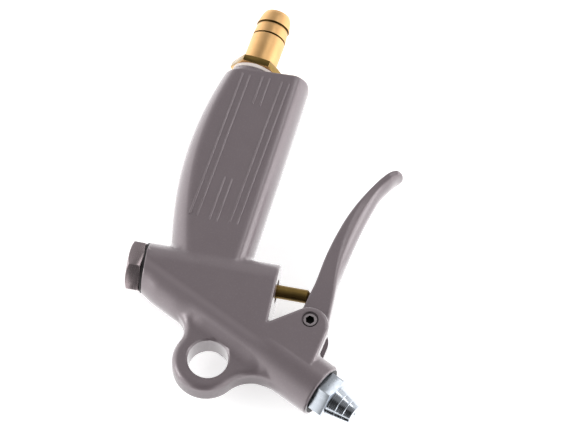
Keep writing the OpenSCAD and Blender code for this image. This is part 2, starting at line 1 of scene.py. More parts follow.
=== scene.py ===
"""Looks of a pneumatic air duster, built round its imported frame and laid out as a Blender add-on.

Every length is in metres, in the frame's own axes: X runs along the valve towards the lever, Y runs
up the grip, and Z points up, across the body. The duster lies on its side.
"""

import json
from itertools import product
from math import atan2, cos, pi, radians, sin, sqrt, tan

import bpy
import numpy as np
from mathutils import Matrix, Vector
from mathutils.geometry import convex_hull_2d


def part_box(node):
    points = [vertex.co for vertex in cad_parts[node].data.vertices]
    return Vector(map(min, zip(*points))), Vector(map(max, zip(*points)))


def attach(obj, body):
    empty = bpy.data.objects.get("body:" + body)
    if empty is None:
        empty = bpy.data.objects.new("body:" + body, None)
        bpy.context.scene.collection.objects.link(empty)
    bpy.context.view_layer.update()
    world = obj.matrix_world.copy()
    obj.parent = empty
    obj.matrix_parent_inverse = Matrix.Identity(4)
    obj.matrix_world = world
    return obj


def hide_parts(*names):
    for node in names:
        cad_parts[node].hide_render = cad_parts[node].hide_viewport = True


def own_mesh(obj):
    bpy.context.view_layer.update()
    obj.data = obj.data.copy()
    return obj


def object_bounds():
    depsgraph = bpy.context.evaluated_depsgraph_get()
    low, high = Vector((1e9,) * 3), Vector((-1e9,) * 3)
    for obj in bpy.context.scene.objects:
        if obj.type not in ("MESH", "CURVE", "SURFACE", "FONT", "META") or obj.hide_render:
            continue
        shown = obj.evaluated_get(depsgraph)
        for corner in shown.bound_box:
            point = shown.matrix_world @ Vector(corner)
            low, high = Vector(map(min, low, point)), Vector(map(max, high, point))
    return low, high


bl_info = {
    "name": "Air duster",
    "version": (1, 0, 0),
    "blender": (4, 5, 0),
    "location": "3D View > Sidebar > Air duster",
    "description": "Builds a die-cast blow gun round its packed frame",
    "category": "Object",
}

MM = 0.001

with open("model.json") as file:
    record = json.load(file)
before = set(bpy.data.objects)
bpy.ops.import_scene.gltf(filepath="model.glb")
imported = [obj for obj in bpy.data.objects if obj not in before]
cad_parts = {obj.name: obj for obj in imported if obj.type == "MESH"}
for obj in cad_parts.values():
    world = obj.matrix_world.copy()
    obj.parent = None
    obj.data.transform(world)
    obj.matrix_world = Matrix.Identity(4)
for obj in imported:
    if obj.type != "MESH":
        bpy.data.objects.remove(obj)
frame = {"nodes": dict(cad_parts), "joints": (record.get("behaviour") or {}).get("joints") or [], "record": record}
cad_box = [list(corner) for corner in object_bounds()]


def ends(node, axis="x"):
    """Where a CAD node's box starts and ends along an axis."""
    return [getattr(edge, axis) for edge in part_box(node)]


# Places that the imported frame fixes
MOUNTS = {mount["name"]: mount for mount in frame["record"]["mounts"]}
JOINTS = {joint["name"]: joint for joint in frame["joints"]}
EYE_R = MOUNTS["hanging_eye"]["dims"]["r_mm"] * MM
RING_HALF = MOUNTS["hanging_eye"]["dims"]["length_mm"] * MM / 2
TAIL_R = MOUNTS["hose_tail"]["dims"]["r_mm"] * MM
GRIP_AXIS = Vector(MOUNTS["hose_tail"]["axis"]).normalized()
GRIP_AHEAD = Vector((GRIP_AXIS.y, -GRIP_AXIS.x, 0))
GRIP_RAKE = atan2(GRIP_AXIS.x, GRIP_AXIS.y)
PIVOT = Vector(JOINTS["lever_pivot"]["pos_m"])
VALVE_Y = (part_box("push_pin")[0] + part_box("push_pin")[1]).y / 2
PIN_REAR, PIN_TIP = ends("push_pin")
PIN_R = ends("push_pin", "z")[1]
SEAL_REAR, CHAMBER_REAR = ends("plug_seal")
PLUG_REAR, PLUG_TIP = ends("valve_plug")
SEAT_REAR, SEAT_FRONT = ends("valve_seat")
SEAT_R = ends("valve_seat", "z")[1]
GUIDE_R = ends("pin_guide", "z")[1]
SCREW_R = (ends("pivot_screw")[1] - ends("pivot_screw")[0]) / 2
SCREW_END = ends("pivot_screw", "z")[1]
BUSH_R = (ends("pivot_bush")[1] - ends("pivot_bush")[0]) / 2
LEVER_HALF = ends("lever", "z")[1]
FLOOR_Z = cad_box[0][2]

AHEAD = Vector((1, 0, 0))
UP = Vector((0, 0, 1))
VALVE = Vector((0, VALVE_Y, 0))

SEAL_INSET = 0.2 * MM  # the plug's seal stands back from the chamber's outside
CHAMBER_R = ends("plug_seal", "z")[1] + SEAL_INSET
PLAY = 0.05 * MM  # between a bore and what sits in it
OVER = 0.5 * MM  # how far a cutter reaches past the face that it opens


def length(name, default, description):
    """A length in millimetres, stored in metres."""
    return bpy.props.FloatProperty(
        name=name, description=description, default=default * MM, unit="LENGTH", precision=5
    )


def angle(name, default, description):
    """An angle in degrees, stored in radians."""
    return bpy.props.FloatProperty(
        name=name, description=description, default=radians(default), subtype="ANGLE"
    )


def whole(name, default, description):
    """A whole number."""
    return bpy.props.IntProperty(name=name, description=description, default=default, min=4)


def linear(code):
    """An sRGB hex colour as linear red, green, blue."""
    channels = [int(code[i:i + 2], 16) / 255 for i in (1, 3, 5)]
    return [c / 12.92 if c <= 0.04045 else ((c + 0.055) / 1.055) ** 2.4 for c in channels]


def colour(name, code, description):
    """A colour given as sRGB hex."""
    return bpy.props.FloatVectorProperty(
        name=name, description=description, default=linear(code), subtype="COLOR", min=0, max=1
    )


def number(name, default, description):
    """A plain number."""
    return bpy.props.FloatProperty(name=name, description=description, default=default, min=0)


class CastingSettings(bpy.types.PropertyGroup):
    """Sizes of the one-piece body casting."""

    grid: length("Grid", 0.45, "Spacing of the grid that the casting's skin is wrapped on")
    ring_r: length("Ring radius", 13.4, "Outside radius of the hanging ring")
    ring_shift: length("Ring shift", 0.7, "How far the ring's outline stands back from the eye")
    ring_edge_r: length("Ring edge", 3.0, "Rounding of the ring's outer edges")
    rear_web_r: length("Rear web", 8.5, "Rounding where the ring meets the body, plug side")
    front_web_r: length("Front web", 13.5, "Rounding where the ring meets the barrel")
    eye_chamfer: length("Eye chamfer", 0.7, "Chamfer at the hanging eye's two mouths")
    chamber_front: length("Chamber front", 20.2, "Front face ahead of the eye's centre")
    flank_half: length("Flank half", 10.8, "Half of the thickness across the flat sides")
    block_edge_r: length("Block edge", 1.4, "Rounding of the ears' and the notch's edges")
    front_edge_r: length("Front edge", 0.9, "Rounding of the front face's edges")
    seam_edge_r: length("Seam edge", 0.6, "Rounding of the rear face's edge at the plug")
    crown_soft_r: length("Crown softness", 4.0, "Rounding where the flank ends on the crown line")
    crown_drop: length("Crown drop", 2.1, "Crown line below the barrel's centre line")
    crown_w: length("Crown width", 2.3, "Half width of the soft crown line")
    crown_step: length("Crown step", 0.05, "How far the flank stands proud of the tube")
    belly: length("Belly", 0.7, "How much fuller the body's underside is behind the ring")
    crown_bead: length("Crown bead", 0.03, "Height of the soft bead along the crown line")
    barrel_end_x: length("Barrel end", 45.9, "End face's middle ahead of the eye")
    barrel_end_drop: length("Barrel drop", 2.6, "End face's middle below the eye")
    barrel_r: length("Barrel radius", 10.99, "Radius of the barrel at its end")
    barrel_edge_r: length("Barrel edge", 0.8, "Rounding of the barrel's front edge")
    barrel_round_from: length("Round from", -34.0, "Where the barrel is round all about")
    grip_len: length("Grip length", 93.9, "From the valve's centre line to the top face")
    grip_foot: length("Grip foot", 18.8, "Where the grip's line meets the valve's, behind the eye")
    grip_back: length("Grip back", 15.3, "Furthest reach of the grip's back")
    grip_front: length("Grip front", 25.9, "Reach of the grip's front at its foot")
    grip_half: length("Grip half", 9.7, "Half of the grip's thickness")
    side_depth: length("Side depth", 7.6, "Depth of the oval that rounds the grip's long sides")
    back_depth: length("Back depth", 6.3, "How much deeper the oval is at the foot of the back")
    side_half: length("Side half", 10.3, "Half height of that oval")
    grip_crease_r: length("Grip crease", 0.7, "Rounding between the grip's flats and its sides")
    grip_top_r: length("Grip top", 3.1, "Rounding of the top edge, front and back")
    top_middle: length("Top middle", 8.2, "Where the tilted top face is at the grip's full length")
    pad_h: length("Pad height", 1.7, "Half of the height from the pad's root to its face")
    pad_r: length("Gasket pad", 9.4, "Radius of the level pad that carries the gasket")
    grip_rim_r: length("Grip rim", 1.5, "Rounding between the top and the rounded sides")
    root_fillet_r: length("Root fillet", 1.6, "Fillet round the grip's root")
    root_melt: length("Root melt", 1.2, "Depth over which the block's top melts into the grip")
    web_melt: length("Web melt", 2.2, "Depth over which the webs' ends melt into the barrel")
    ring_fillet_r: length("Ring fillet", 3.0, "Fillet between the ring's plate and the body")
    notch_fillet_r: length("Notch fillet", 1.2, "Fillet at the notch's foot")
    ear_r: length("Ear radius", 7.8, "Rounding of the ears' tops")
    ear_drop: length("Ear drop", 2.2, "That rounding's centre below the pivot")
    slot_half: length("Slot half", 6.0, "Half of the slot's width")
    slot_floor: length("Slot floor", 9.2, "Slot's floor above the barrel's centre line")
    counterbore_r: length("Counterbore radius", 3.4, "Radius of the counterbores")
    counterbore_depth: length("Counterbore depth", 1.1, "Depth of the counterbores")
    rib_w: length("Rib width", 0.8, "Width of a raised rib")
    rib_h: length("Rib height", 0.25, "Height of a raised rib")
    rib_pitch: length("Rib pitch", 3.0, "Spacing of the ribs in a pair")
    rib_pair_pitch: length("Pair pitch", 8.2, "Spacing of the pairs")
    rib_middle: length("Rib middle", 6.3, "Middle pair ahead of the grip's line")
    chamber_bore_r: length("Chamber bore", 7.2, "Radius of the valve chamber's bore")
    outlet_bore_r: length("Outlet bore", 4.2, "Radius of the bore ahead of the valve's seat")
    lip_t: length("Lip", 1.2, "Thickness of the lip behind the pin's seal ring")
    lip_play: length("Lip play", 0.3, "Gap between that lip and the push pin")
    port_r: length("Port", 2.2, "Radius of the port from the valve down to the barrel")
    slot_reach: length("Slot reach", 12.0, "Reach of the slot behind the pivot")
    top_tilt: angle("Top tilt", 9, "Angle by which the grip's top face rises towards its front")
    barrel_fall: angle("Barrel fall", 27, "Angle of the barrel below the valve's line")


class LeverSettings(bpy.types.PropertyGroup):
    """Sizes of the squeeze lever."""

    grid: length("Grid", 0.36, "Spacing of the grid that the lever's skin is wrapped on")
    reach: length("Lever length", 73.5, "Height of the tip above the pivot")
    boss_r: length("Boss radius", 6.0, "Radius of the boss round the pivot")
    heel_front: length("Heel front", 6.9, "Reach of the straight front ahead of the pivot")
    edge_r: length("Edge", 0.8, "Rounding between the lever's sides and its front and back")
    fullness: number("Fullness", 0.96, "Share of an oval's half that the crown follows")
    tip_lean: angle("Tip lean", 60, "Angle at which the blade leans forward at its tip")


class FittingSettings(bpy.types.PropertyGroup):
    """Sizes of the turned fittings."""

    facets: whole("Facets", 96, "Facets round a turned piece")
    bevel: length("Bevel", 0.15, "Soft edge left by turning and milling")
    plug_af: length("Plug flats", 19.0, "Width across the plug's flats")
    plug_stem_r: length("Plug stem", 8.2, "Radius of the plug's stem")
    plug_cup_r: length("Spring cup", 5.2, "Radius of the spring's cup in the plug")
    cup_floor_t: length("Cup floor", 1.6, "Metal between the cup and the plug's head")
    barb_af: length("Tail flats", 19.0, "Width across the hose tail's flats")
    barb_hex_t: length("Tail hexagon", 3.3, "Thickness of the hose tail's hexagon")
    barb_len: length("Tail length", 25.9, "Length of the tail above its hexagon")
    barb_bore_r: length("Tail bore", 4.5, "Radius of the bore through the tail")
    barb_stem_r: length("Tail stem", 6.6, "Radius of the threaded stem")
    barb_stem: length("Stem length", 11.0, "Length of the threaded stem")
    gasket_t: length("Gasket", 1.5, "Thickness of the gasket under the hexagon")
    gasket_rim: length("Gasket rim", 0.8, "How far the gasket is drawn past its solid, to show")
    groove_depth: length("Groove depth", 0.9, "Depth of the tail's grooves")
    groove_w: length("Groove width", 0.7, "Width of the tail's grooves")
    tail_chamfer: length("Tail chamfer", 1.6, "Chamfer at the tail's open end")
    nozzle_af: length("Nozzle flats", 16.4, "Width across the nozzle's flats")
    nozzle_hex: length("Nozzle hexagon", 6.2, "Hexagon's reach past the barrel's end face")
    cone_len: length("Cone length", 9.8, "Length of the nozzle's cone")
    cone_foot_r: length("Cone foot", 6.4, "Radius of the cone at its foot")
    cone_tip_r: length("Cone tip", 3.9, "Radius of the cone at its tip")
    cone_ring: length("Cone ring", 0.12, "Depth of the fine rings cut round the cone")
    cone_ease: length("Cone edge", 0.1, "Rounding of the cone's and its rings' edges")
    jet_r: length("Jet", 1.0, "Radius of the air jet's hole")
    jet_flare: length("Jet flare", 0.4, "Chamfer at the mouth of that hole")
    nozzle_stem_r: length("Nozzle stem", 6.4, "Radius of the nozzle's stem")
    nozzle_stem: length("Nozzle stem length", 11.0, "Length of the nozzle's stem")
    recess_r: length("Recess", 9.9, "Radius of the recess in the barrel's end")
    recess_depth: length("Recess depth", 1.0, "Depth of that recess")
    nozzle_seal_t: length("Nozzle seal", 0.85, "Thickness of the nozzle's sealing ring")
    passage_r: length("Passage", 3.4, "Radius of the air passage along the barrel")
    tip_chamfer: length("Pin chamfer", 0.9, "Chamfer of the push pin's tip")
    stem_r: length("Pin stem", 1.5, "Radius of the pin's thin stem")
    socket_af: length("Socket flats", 3.2, "Width across the pivot screw's hexagon socket")
    socket_depth: length("Socket depth", 2.4, "Depth of that socket")
    wire_r: length("Spring wire", 0.45, "Radius of the valve spring's wire")
    closed_pitch: number("Closed pitch", 2.1, "Pitch of the spring's end turns in wire radii")
    spring_turns: whole("Spring turns", 9, "Turns of the valve spring")
    wire_facets: whole("Wire facets", 10, "Facets round the spring's wire")
    turn_facets: whole("Turn facets", 32, "Facets along each turn of the spring")
    plug_turn: angle("Plug turn", 22.6, "Angle that the tightened plug stands at")
    nozzle_turn: angle("Nozzle turn", 18.5, "Angle that the tightened nozzle stands at")
    plug_cut: angle("Plug corners", 30, "Angle at which the plug's corners are turned off")
    tail_cut: angle("Tail corners", 12, "The same angle on the hose tail's hexagon")
    nozzle_cut: angle("Nozzle corners", 16, "The same angle on the nozzle's hexagon")


class FinishSettings(bpy.types.PropertyGroup):
    """Colours of the finishes."""

    coating: colour("Coating", "#71666A", "Satin taupe coating of the castings")
    coating_worn: colour("Coating, lighter", "#786D71", "The same coating where it lies thin")
    # Painted highlight: a lighter coating along the barrel's crown line, for the light that its crease catches
    coating_crown_highlight: colour("Coating, rubbed", "#83787C", "The coating on the barrel's crown line")
    plug: colour("Plug", "#8A7F81", "Dark passivated steel")
    brass: colour("Brass", "#D6AD79", "Turned brass")
    brass_dark: colour("Brass, tarnished", "#C79D68", "Brass where it has dulled")
    # Dark brown brass of the push pin; on the hose tail hexagon's flats it is painted shade
    brass_pin_and_flat_shade: colour("Brass, worn", "#8E7442", "Brass of the pin where the lever rubs it")
    # Painted shade: the darker brass in the hose tail's grooves stands for the shade inside them
    brass_groove_shade: colour("Brass, grimy", "#4A3A22", "Brass in the tail's grooves")
    # Brown brass of the push pin; also painted shade on the hexagon's flats and in the tail's grooves
    brass_pin_and_painted_shade: colour("Brass, aged", "#6E5A30", "Brass of the pin, browned by handling")
    zinc: colour("Zinc", "#BAC0C8", "Bright zinc plating")
    steel: colour("Steel", "#8E9094", "Drawn steel")
    # Also painted shade on the walls of the nozzle's jet bore
    blackened: colour("Blackened steel", "#1E1A1B", "Blackened steel of the pivot screw")
    ground: colour("Ground steel", "#A0979A", "The pivot screw's ground end")
    gasket: colour("Gasket", "#E8DED8", "White fibre gasket")
    rubber: colour("Rubber", "#161415", "Black nitrile rubber")


class StageSettings(bpy.types.PropertyGroup):
    """The camera, the lamps and the floor."""

    camera_place: bpy.props.FloatVectorProperty(
        name="Camera", description="Where the camera stands", subtype="TRANSLATION",
        default=(0.12711, -0.49296, 1.12373)
    )
    camera_lens: bpy.props.FloatProperty(
        name="Lens", description="Focal length in millimetres on a 36 mm sensor", default=201.06
    )
    camera_azimuth: angle("Azimuth", 11.2, "Turn of the view about Z")
    camera_elevation: angle("Elevation", 63, "Height of the view above the floor")
    floor: colour("Floor", "#F4F4F4", "Pale floor")
    floor_dark: colour("Floor, dark", "#272727", "The floor's dark places, seen in reflections")
    floor_lift: number("Floor lift", 0.6, "Light added to the floor's own, to keep shadows pale")
    floor_mirrored: number("Floor mirrored", 1.4, "Light added where a surface mirrors the floor")
    horizon: number("Horizon", 2.0, "Strength of the light tent low down")
    overhead: number("Overhead", 0.3, "Strength of the light tent overhead")
    rear_share: number("Rear wall", 0.35, "The rear wall's strength as a share of the others'")
    gap_share: number("Front gap", 0.06, "Strength in the tent's front opening, as a share")


SETTINGS = {
    "casting": CastingSettings,
    "lever": LeverSettings,
    "fittings": FittingSettings,
    "finishes": FinishSettings,
    "stage": StageSettings,
}


class DusterSettings(bpy.types.PropertyGroup):
    """Everything that a user may change."""

    casting: bpy.props.PointerProperty(type=CastingSettings)
    lever: bpy.props.PointerProperty(type=LeverSettings)
    fittings: bpy.props.PointerProperty(type=FittingSettings)
    finishes: bpy.props.PointerProperty(type=FinishSettings)
    stage: bpy.props.PointerProperty(type=StageSettings)


def settings():
    """The duster's settings in this scene."""
    return bpy.context.scene.air_duster


# Joining of distance fields: a distance is negative inside a form

def fillet(a, b, r):
    """Both forms together, with a fillet of radius r where they meet."""
    return np.maximum(r, np.minimum(a, b)) - np.hypot(np.maximum(r - a, 0), np.maximum(r - b, 0))


def melt(a, b, depth):
    """Both forms together, with a shallow crease between them filled smoothly."""
    near = np.maximum(depth - np.abs(a - b), 0)
    return np.minimum(a, b) - near * near / (4 * depth)


def corner(a, b, r):
    """What both forms share, with its edge rounded to radius r."""
    return np.minimum(-r, np.maximum(a, b)) + np.hypot(np.maximum(r + a, 0), np.maximum(r + b, 0))


def smooth_share(value, start, stop):
    """0 before start, 1 after stop, and a smooth rise between them."""
    s = np.clip((value - start) / (stop - start), 0, 1)
    return s * s * (3 - 2 * s)


def outline_distance(x, y, outline):
    """Distance to a closed outline, negative inside it."""
    nearest = np.full(np.shape(x), np.inf)
    inside = np.zeros(np.shape(x), bool)
    for (ax, ay), (bx, by) in zip(outline, outline[1:] + outline[:1]):
        ex, ey = bx - ax, by - ay
        wx, wy = x - ax, y - ay
        along = np.clip((wx * ex + wy * ey) / (ex * ex + ey * ey), 0, 1)
        nearest = np.minimum(nearest, (wx - along * ex) ** 2 + (wy - along * ey) ** 2)
        if ey:
            inside ^= ((ay <= y) != (by <= y)) & (wx < wy * ex / ey)
    return np.where(inside, -1, 1) * np.sqrt(nearest)


def arc(middle, r, start, stop, steps):
    """Points along an arc, from one angle to another."""
    return [
        (middle[0] + r * cos(start + (stop - start) * i / steps),
         middle[1] + r * sin(start + (stop - start) * i / steps))
        for i in range(steps + 1)
    ]


def hull_outline(circles, steps=24):
    """The outline of a band stretched round circles."""
    points = [p for middle, r in circles for p in arc(middle, r, 0, 2 * pi, steps)[:-1]]
    return [points[i] for i in convex_hull_2d([Vector(p) for p in points])]


def smooth_path(points, steps=8):
    """A smooth curve through points."""
    p = np.array([points[0], *points, points[-1]], float)
    path = []
    for i in range(1, len(p) - 2):
        for t in np.arange(steps) / steps:
            path.append(tuple(
                p[i] + t * (p[i + 1] - p[i - 1]) / 2
                + t * t * (p[i - 1] - 2.5 * p[i] + 2 * p[i + 1] - 0.5 * p[i + 2])
                + t ** 3 * (1.5 * (p[i] - p[i + 1]) + (p[i + 2] - p[i - 1]) / 2)
            ))
    return path + [tuple(p[-1])]


# Where the casting's blends start and stop. Places along the barrel are ahead of its end face, or
# behind it where the comment says so
CROWN_TAPER = (-36 * MM, -18 * MM)  # the crown's radius turns into the barrel's own
# The crown line's painted highlight, a lighter coating along it
CROWN_HIGHLIGHT = (-36 * MM, -22 * MM)  # the lighter crown line fades out
BEAD_RISE = (24 * MM, 36 * MM)  # behind: the crown line's bead rises
BELLY_REAR = (-84 * MM, -76 * MM)  # the belly rises
BELLY_FRONT = (58 * MM, 68 * MM)  # behind: the belly rises from its other end
BELLY_BELOW = (4 * MM, 10 * MM)  # the belly rises, below the centre line
EAR_FOOT = (3 * MM, 8 * MM)  # the fillet at the ears' foot rises, above the centre line
GRIP_ROOT = (2 * MM, 6 * MM)  # the fillet at the grip's root rises, above the valve's line
ROOT_STEEP = (2.2 * MM, 0.4 * MM)  # that fillet ends, below the grip's flat face
WEB_END = 6 * MM  # the webs' melting rises over this length from each of their ends
WEB_MELT_LEAST = 0.02  # share of the melting that is left past the ends

# Other places on the castings
HALF_TUBE = 3 * MM  # behind its round part, the barrel ends this far above its centre line
WEB_INSET = 0.3 * MM  # the webs' roots lie this far inside the flank
EAR_ROOT = 0.8  # the ears' web starts at this share of the eye's distance from the end face
SHOULDER_DROP = 18.8 * MM  # the ears' shoulder below the valve's line
OVAL_END = 0.985  # share of the grip's side oval that is followed before it turns upright
TOE_AHEAD = 1.06  # the lever's stop toe ahead of the pivot, in boss radii
TOE_HALF = 1.85 * MM  # half width of that toe

# Room round a form on the grid that its skin is wrapped on
ROOM_REAR, ROOM_FRONT, ROOM_ENDS, ROOM_SIDES = 12 * MM, 7 * MM, 6 * MM, 2 * MM
ROOM_LEVER = 4 * MM
LEVER_GRID_TURN = -0.15

# Facets round what is cut out
EYE_FACETS = 128
CUT_FACETS = 96
HOLE_FACETS = 64

SLOT_OUT, SLOT_UP = 6 * MM, 31 * MM  # the slot's cutter past the barrel's end and above its floor
RIB_TIP = 0.25  # share of a rib's height at its ends
GROOVE_SHARES = (0.53, 0.74)  # the grooves' places along the hose tail
RING_SHARES = (0.36, 0.68)  # the fine rings' places along the nozzle's cone
ROOT = 0.2 * MM  # how far the plug's stem starts inside its head
CORNER_START = 0.97  # a hexagon's corners are turned off from this share of its flats' distance
FLAT_AREA = (3 * MM) ** 2  # a hexagon's flat is larger than this, and its other faces smaller

# Soft boxes, hung round the duster's middle: their way from it, width, height and power
LAMPS_AIM, LAMPS_AWAY = (0.01, 0.06, 0), 1.3
LAMPS = {
    "lamp_high": ((0.36, 0.5, 0.79), 0.55, 0.32, 1.9),
    "lamp_right": ((0.97, 0.1, 0.22), 0.7, 0.7, 5.5),
    "lamp_left": ((-0.9, -0.25, 0.3), 0.6, 0.6, 6.0),
}

# The light tent, as shares of a direction: where each part starts and stops
TENT_TOP = (0.15, 0.95)
TENT_REAR = (0.6, 1.0)
TENT_SIDES = (0.56, 0.38)
TENT_FRONT = (-0.25, -0.5)

# The floor, and where it is dark to a surface that mirrors it: fully and no more
FLOOR_HALF = 2.0
FRONT_DARK = (-130 * MM, -90 * MM)
FRONT_SLANT = (0.45, 0.65)  # half width of that place, as a share of its distance
RING_INNER, RING_OUTER = (18 * MM, 14 * MM), (20 * MM, 28 * MM)
RING_SHADE = 0.55
NOZZLE_SPOT, NOZZLE_DARK = (50 * MM, -32 * MM), (12 * MM, 20 * MM)

# Outline of the grip: share of its length, of its back reach and of its front reach
GRIP_SHARES = np.array([
    (0.03, 0.34, 1.00), (0.127, 0.52, 0.995), (0.304, 0.785, 0.975), (0.442, 0.942, 0.958),
    (0.583, 0.998, 0.945), (0.677, 0.99, 0.938), (0.772, 0.96, 0.93), (0.868, 0.89, 0.92),
    (0.94, 0.805, 0.91), (1.0, 0.725, 0.90),
])

# Each pair of ribs: its place in spacings, and where it starts and ends along the grip
RIB_SHARES = [(-1, 0.237, 0.955), (0, 0.232, 0.45), (0, 0.82, 0.965), (1, 0.248, 0.965)]

# The lever's blade: back edge, front edge, crown and half width. Edges are shares of its length,
# measured from the pivot, and crowns are shares of the half width
BLADE_SHARES = [
    (-0.0544, 0.1007, 0.0935, 0.06, 0.07, 1), (-0.0332, 0.1959, 0.0935, 0.19, 0.09, 1),
    (-0.0184, 0.2626, 0.0885, 0.279, 0.17, 1), (-0.001, 0.384, 0.0815, 0.381, 0.43, 1),
    (0.015, 0.468, 0.082, 0.463, 0.61, 1), (0.038, 0.561, 0.09, 0.555, 0.73, 1),
    (0.075, 0.679, 0.113, 0.671, 0.76, 1), (0.127, 0.797, 0.15, 0.789, 0.7, 1),
    (0.195, 0.917, 0.208, 0.896, 0.57, 1), (0.248, 0.9865, 0.2595, 0.953, 0.4, 1),
    (0.287, 1.0145, 0.297, 0.984, 0.14, 0.86), (0.312, 1.0165, 0.3215, 1.0, 0.06, 0.56),
    (0.3215, 1.0095, 0.325, 1.0045, 0.03, 0.36),
]


def grip_point(casting, t):
    """A place on the grip's line, some way above the valve's."""
    return Vector((-casting.grip_foot, VALVE_Y, 0)) + GRIP_AXIS * t


class BarrelLine:
    """The barrel's centre line: u runs ahead of the end face, v towards the grip."""

    def __init__(self, casting):
        self.end = Vector((casting.barrel_end_x, -casting.barrel_end_drop, 0))
        self.ahead = Vector((cos(casting.barrel_fall), -sin(casting.barrel_fall), 0))
        self.aside = Vector((sin(casting.barrel_fall), cos(casting.barrel_fall), 0))

    def point(self, u, v):
        return self.end + u * self.ahead + v * self.aside

    def measure(self, x, y):
        dx, dy = x - self.end.x, y - self.end.y
        return (dx * self.ahead.x + dy * self.ahead.y, dx * self.aside.x + dy * self.aside.y)


class CastingForm:
    """The casting as a distance field, before its bores and slot are cut."""

    def __init__(self, casting):
        self.c = casting
        self.barrel = BarrelLine(casting)
        self.back_curve = np.polyfit(GRIP_SHARES[:, 0], GRIP_SHARES[:, 1], 5)
        self.front_curve = np.polyfit(GRIP_SHARES[:, 0], GRIP_SHARES[:, 2], 3)
        self.plate_outline = self.find_plate_outline()
        self.ear_outline = self.find_ear_outline()

    def find_plate_outline(self):
        """The ring and the two hollow webs that carry it."""
        c = self.c
        ring = (-c.ring_shift, 0)
        ring_u, ring_v = self.barrel.measure(*ring)
        below = c.flank_half - WEB_INSET
        up = atan2(self.barrel.aside.y, self.barrel.aside.x)
        webs = []
        for r, side in ((c.rear_web_r, -1), (c.front_web_r, 1)):
            v = -below - r
            u = ring_u + side * sqrt((c.ring_r + r) ** 2 - (v - ring_v) ** 2)
            middle = self.barrel.point(u, v)
            foot = atan2(-middle.y, ring[0] - middle.x) % (2 * pi)
            webs.append((middle, r, foot, u))
        (rear, rear_r, rear_foot, rear_u), (front, front_r, front_foot, front_u) = webs
        self.web_ends = (rear_u, front_u)
        rear_ring, front_ring = rear_foot + pi, front_foot + pi
        while front_ring < rear_ring:
            front_ring += 2 * pi
        while front_ring > rear_ring + 2 * pi:
            front_ring -= 2 * pi
        inside = [self.barrel.point(u, -below / 2) for u in (front_u, rear_u)]
        return (
            arc(rear, rear_r, up, rear_foot - 2 * pi if rear_foot > up + pi else rear_foot, 14)
            + arc(ring, c.ring_r, rear_ring, front_ring, 60)[1:-1]
            + arc(front, front_r, front_foot, up, 18)
            + [(p.x, p.y) for p in inside]
        )

    def find_ear_outline(self):
        """Both ears and the web under them."""
        c = self.c
        r = c.block_edge_r
        root = self.barrel.measure(0, 0)[0] * EAR_ROOT
        shoulder = (c.chamber_front, VALVE_Y - SHOULDER_DROP - r)
        return hull_outline([
            (tuple(self.barrel.point(root, r)[:2]), r),
            (tuple(self.barrel.point(-c.ear_r, r)[:2]), r),
            (shoulder, r),
            ((PIVOT.x, PIVOT.y - c.ear_drop), c.ear_r),
        ], 40)

    def front_share(self, x):
        """How far a place lies from the rear face to the front face."""
        return np.clip((x - CHAMBER_REAR) / (self.c.chamber_front - CHAMBER_REAR), 0, 1)

    def flank(self, x):
        """Half thickness across the flats."""
        return CHAMBER_R + (self.c.flank_half - CHAMBER_R) * self.front_share(x)

    def grip(self, x, y, z):
        c = self.c
        dx, dy = x + c.grip_foot, y - VALVE_Y
        t = dx * sin(GRIP_RAKE) + dy * cos(GRIP_RAKE)
        w = dx * cos(GRIP_RAKE) - dy * sin(GRIP_RAKE)
        share = np.clip(t / c.grip_len, 0, 1)
        back = np.polyval(self.back_curve, share) * c.grip_back
        front = np.polyval(self.front_curve, share) * c.grip_front
        height = np.minimum(z, OVAL_END * c.side_half) / c.side_half
        root = np.sqrt(1 - height * height)
        off = w - (front - back) / 2
        depth = c.side_depth + c.back_depth * (1 - share) ** 2 * (off < 0)
        steepness = depth * height / (c.side_half * root)
        upright = np.abs(off) - (front + back) / 2
        side = (upright + depth * (1 - root)) / np.sqrt(1 + steepness ** 2)
        top = t - c.grip_len - tan(c.top_tilt) * (w - c.top_middle)
        form = np.maximum(corner(upright, top, c.grip_top_r), corner(side, top, c.grip_rim_r))
        form = np.maximum(corner(form, z - c.grip_half, c.grip_crease_r), -t)
        pad = np.maximum(np.hypot(w, z) - c.pad_r, np.abs(t - c.grip_len + c.pad_h) - c.pad_h)
        return np.minimum(form, pad)

    def block(self, x, y, z, v):
        """The valve chamber: a half-round top over flat sides."""
        c = self.c
        form = corner(y - VALVE_Y - CHAMBER_R, z - self.flank(x), CHAMBER_R)
        form = corner(form, x - c.chamber_front, c.front_edge_r)
        form = corner(form, CHAMBER_REAR - x, c.seam_edge_r)
        return corner(form, c.crown_w - c.crown_drop - c.crown_soft_r - v, c.crown_soft_r)

    def ears(self, x, y, z, v):
        """The ears, joined to the block's foot by a fillet in the notch."""
        c = self.c
        foot = np.maximum(np.maximum(x - c.chamber_front, y - VALVE_Y), np.maximum(-x, -v))
        outline = fillet(foot, outline_distance(x, y, self.ear_outline), c.notch_fillet_r)
        return corner(outline, z - self.flank(x), c.block_edge_r)

    def tube(self, x, z, u, v):
        """The slanted barrel, which runs from the plug's face to the nozzle."""
        c = self.c
        crown = self.flank(self.barrel.end.x + u * self.barrel.ahead.x) - c.crown_step
        r = crown + (c.barrel_r - crown) * smooth_share(u, *CROWN_TAPER)
        off = (v + c.crown_drop) / c.crown_w
        bead = np.maximum(1 - off ** 2, 0) ** 2 * smooth_share(-u, *BEAD_RISE)
        behind = smooth_share(u, *BELLY_REAR) * smooth_share(-u, *BELLY_FRONT)
        r = r + c.crown_bead * bead + c.belly * behind * smooth_share(-v, *BELLY_BELOW)
        form = corner(np.hypot(v, z) - r, u, c.barrel_edge_r)
        form = corner(form, CHAMBER_REAR - x, c.seam_edge_r)
        return np.maximum(form, np.minimum(v - HALF_TUBE, c.barrel_round_from - u))

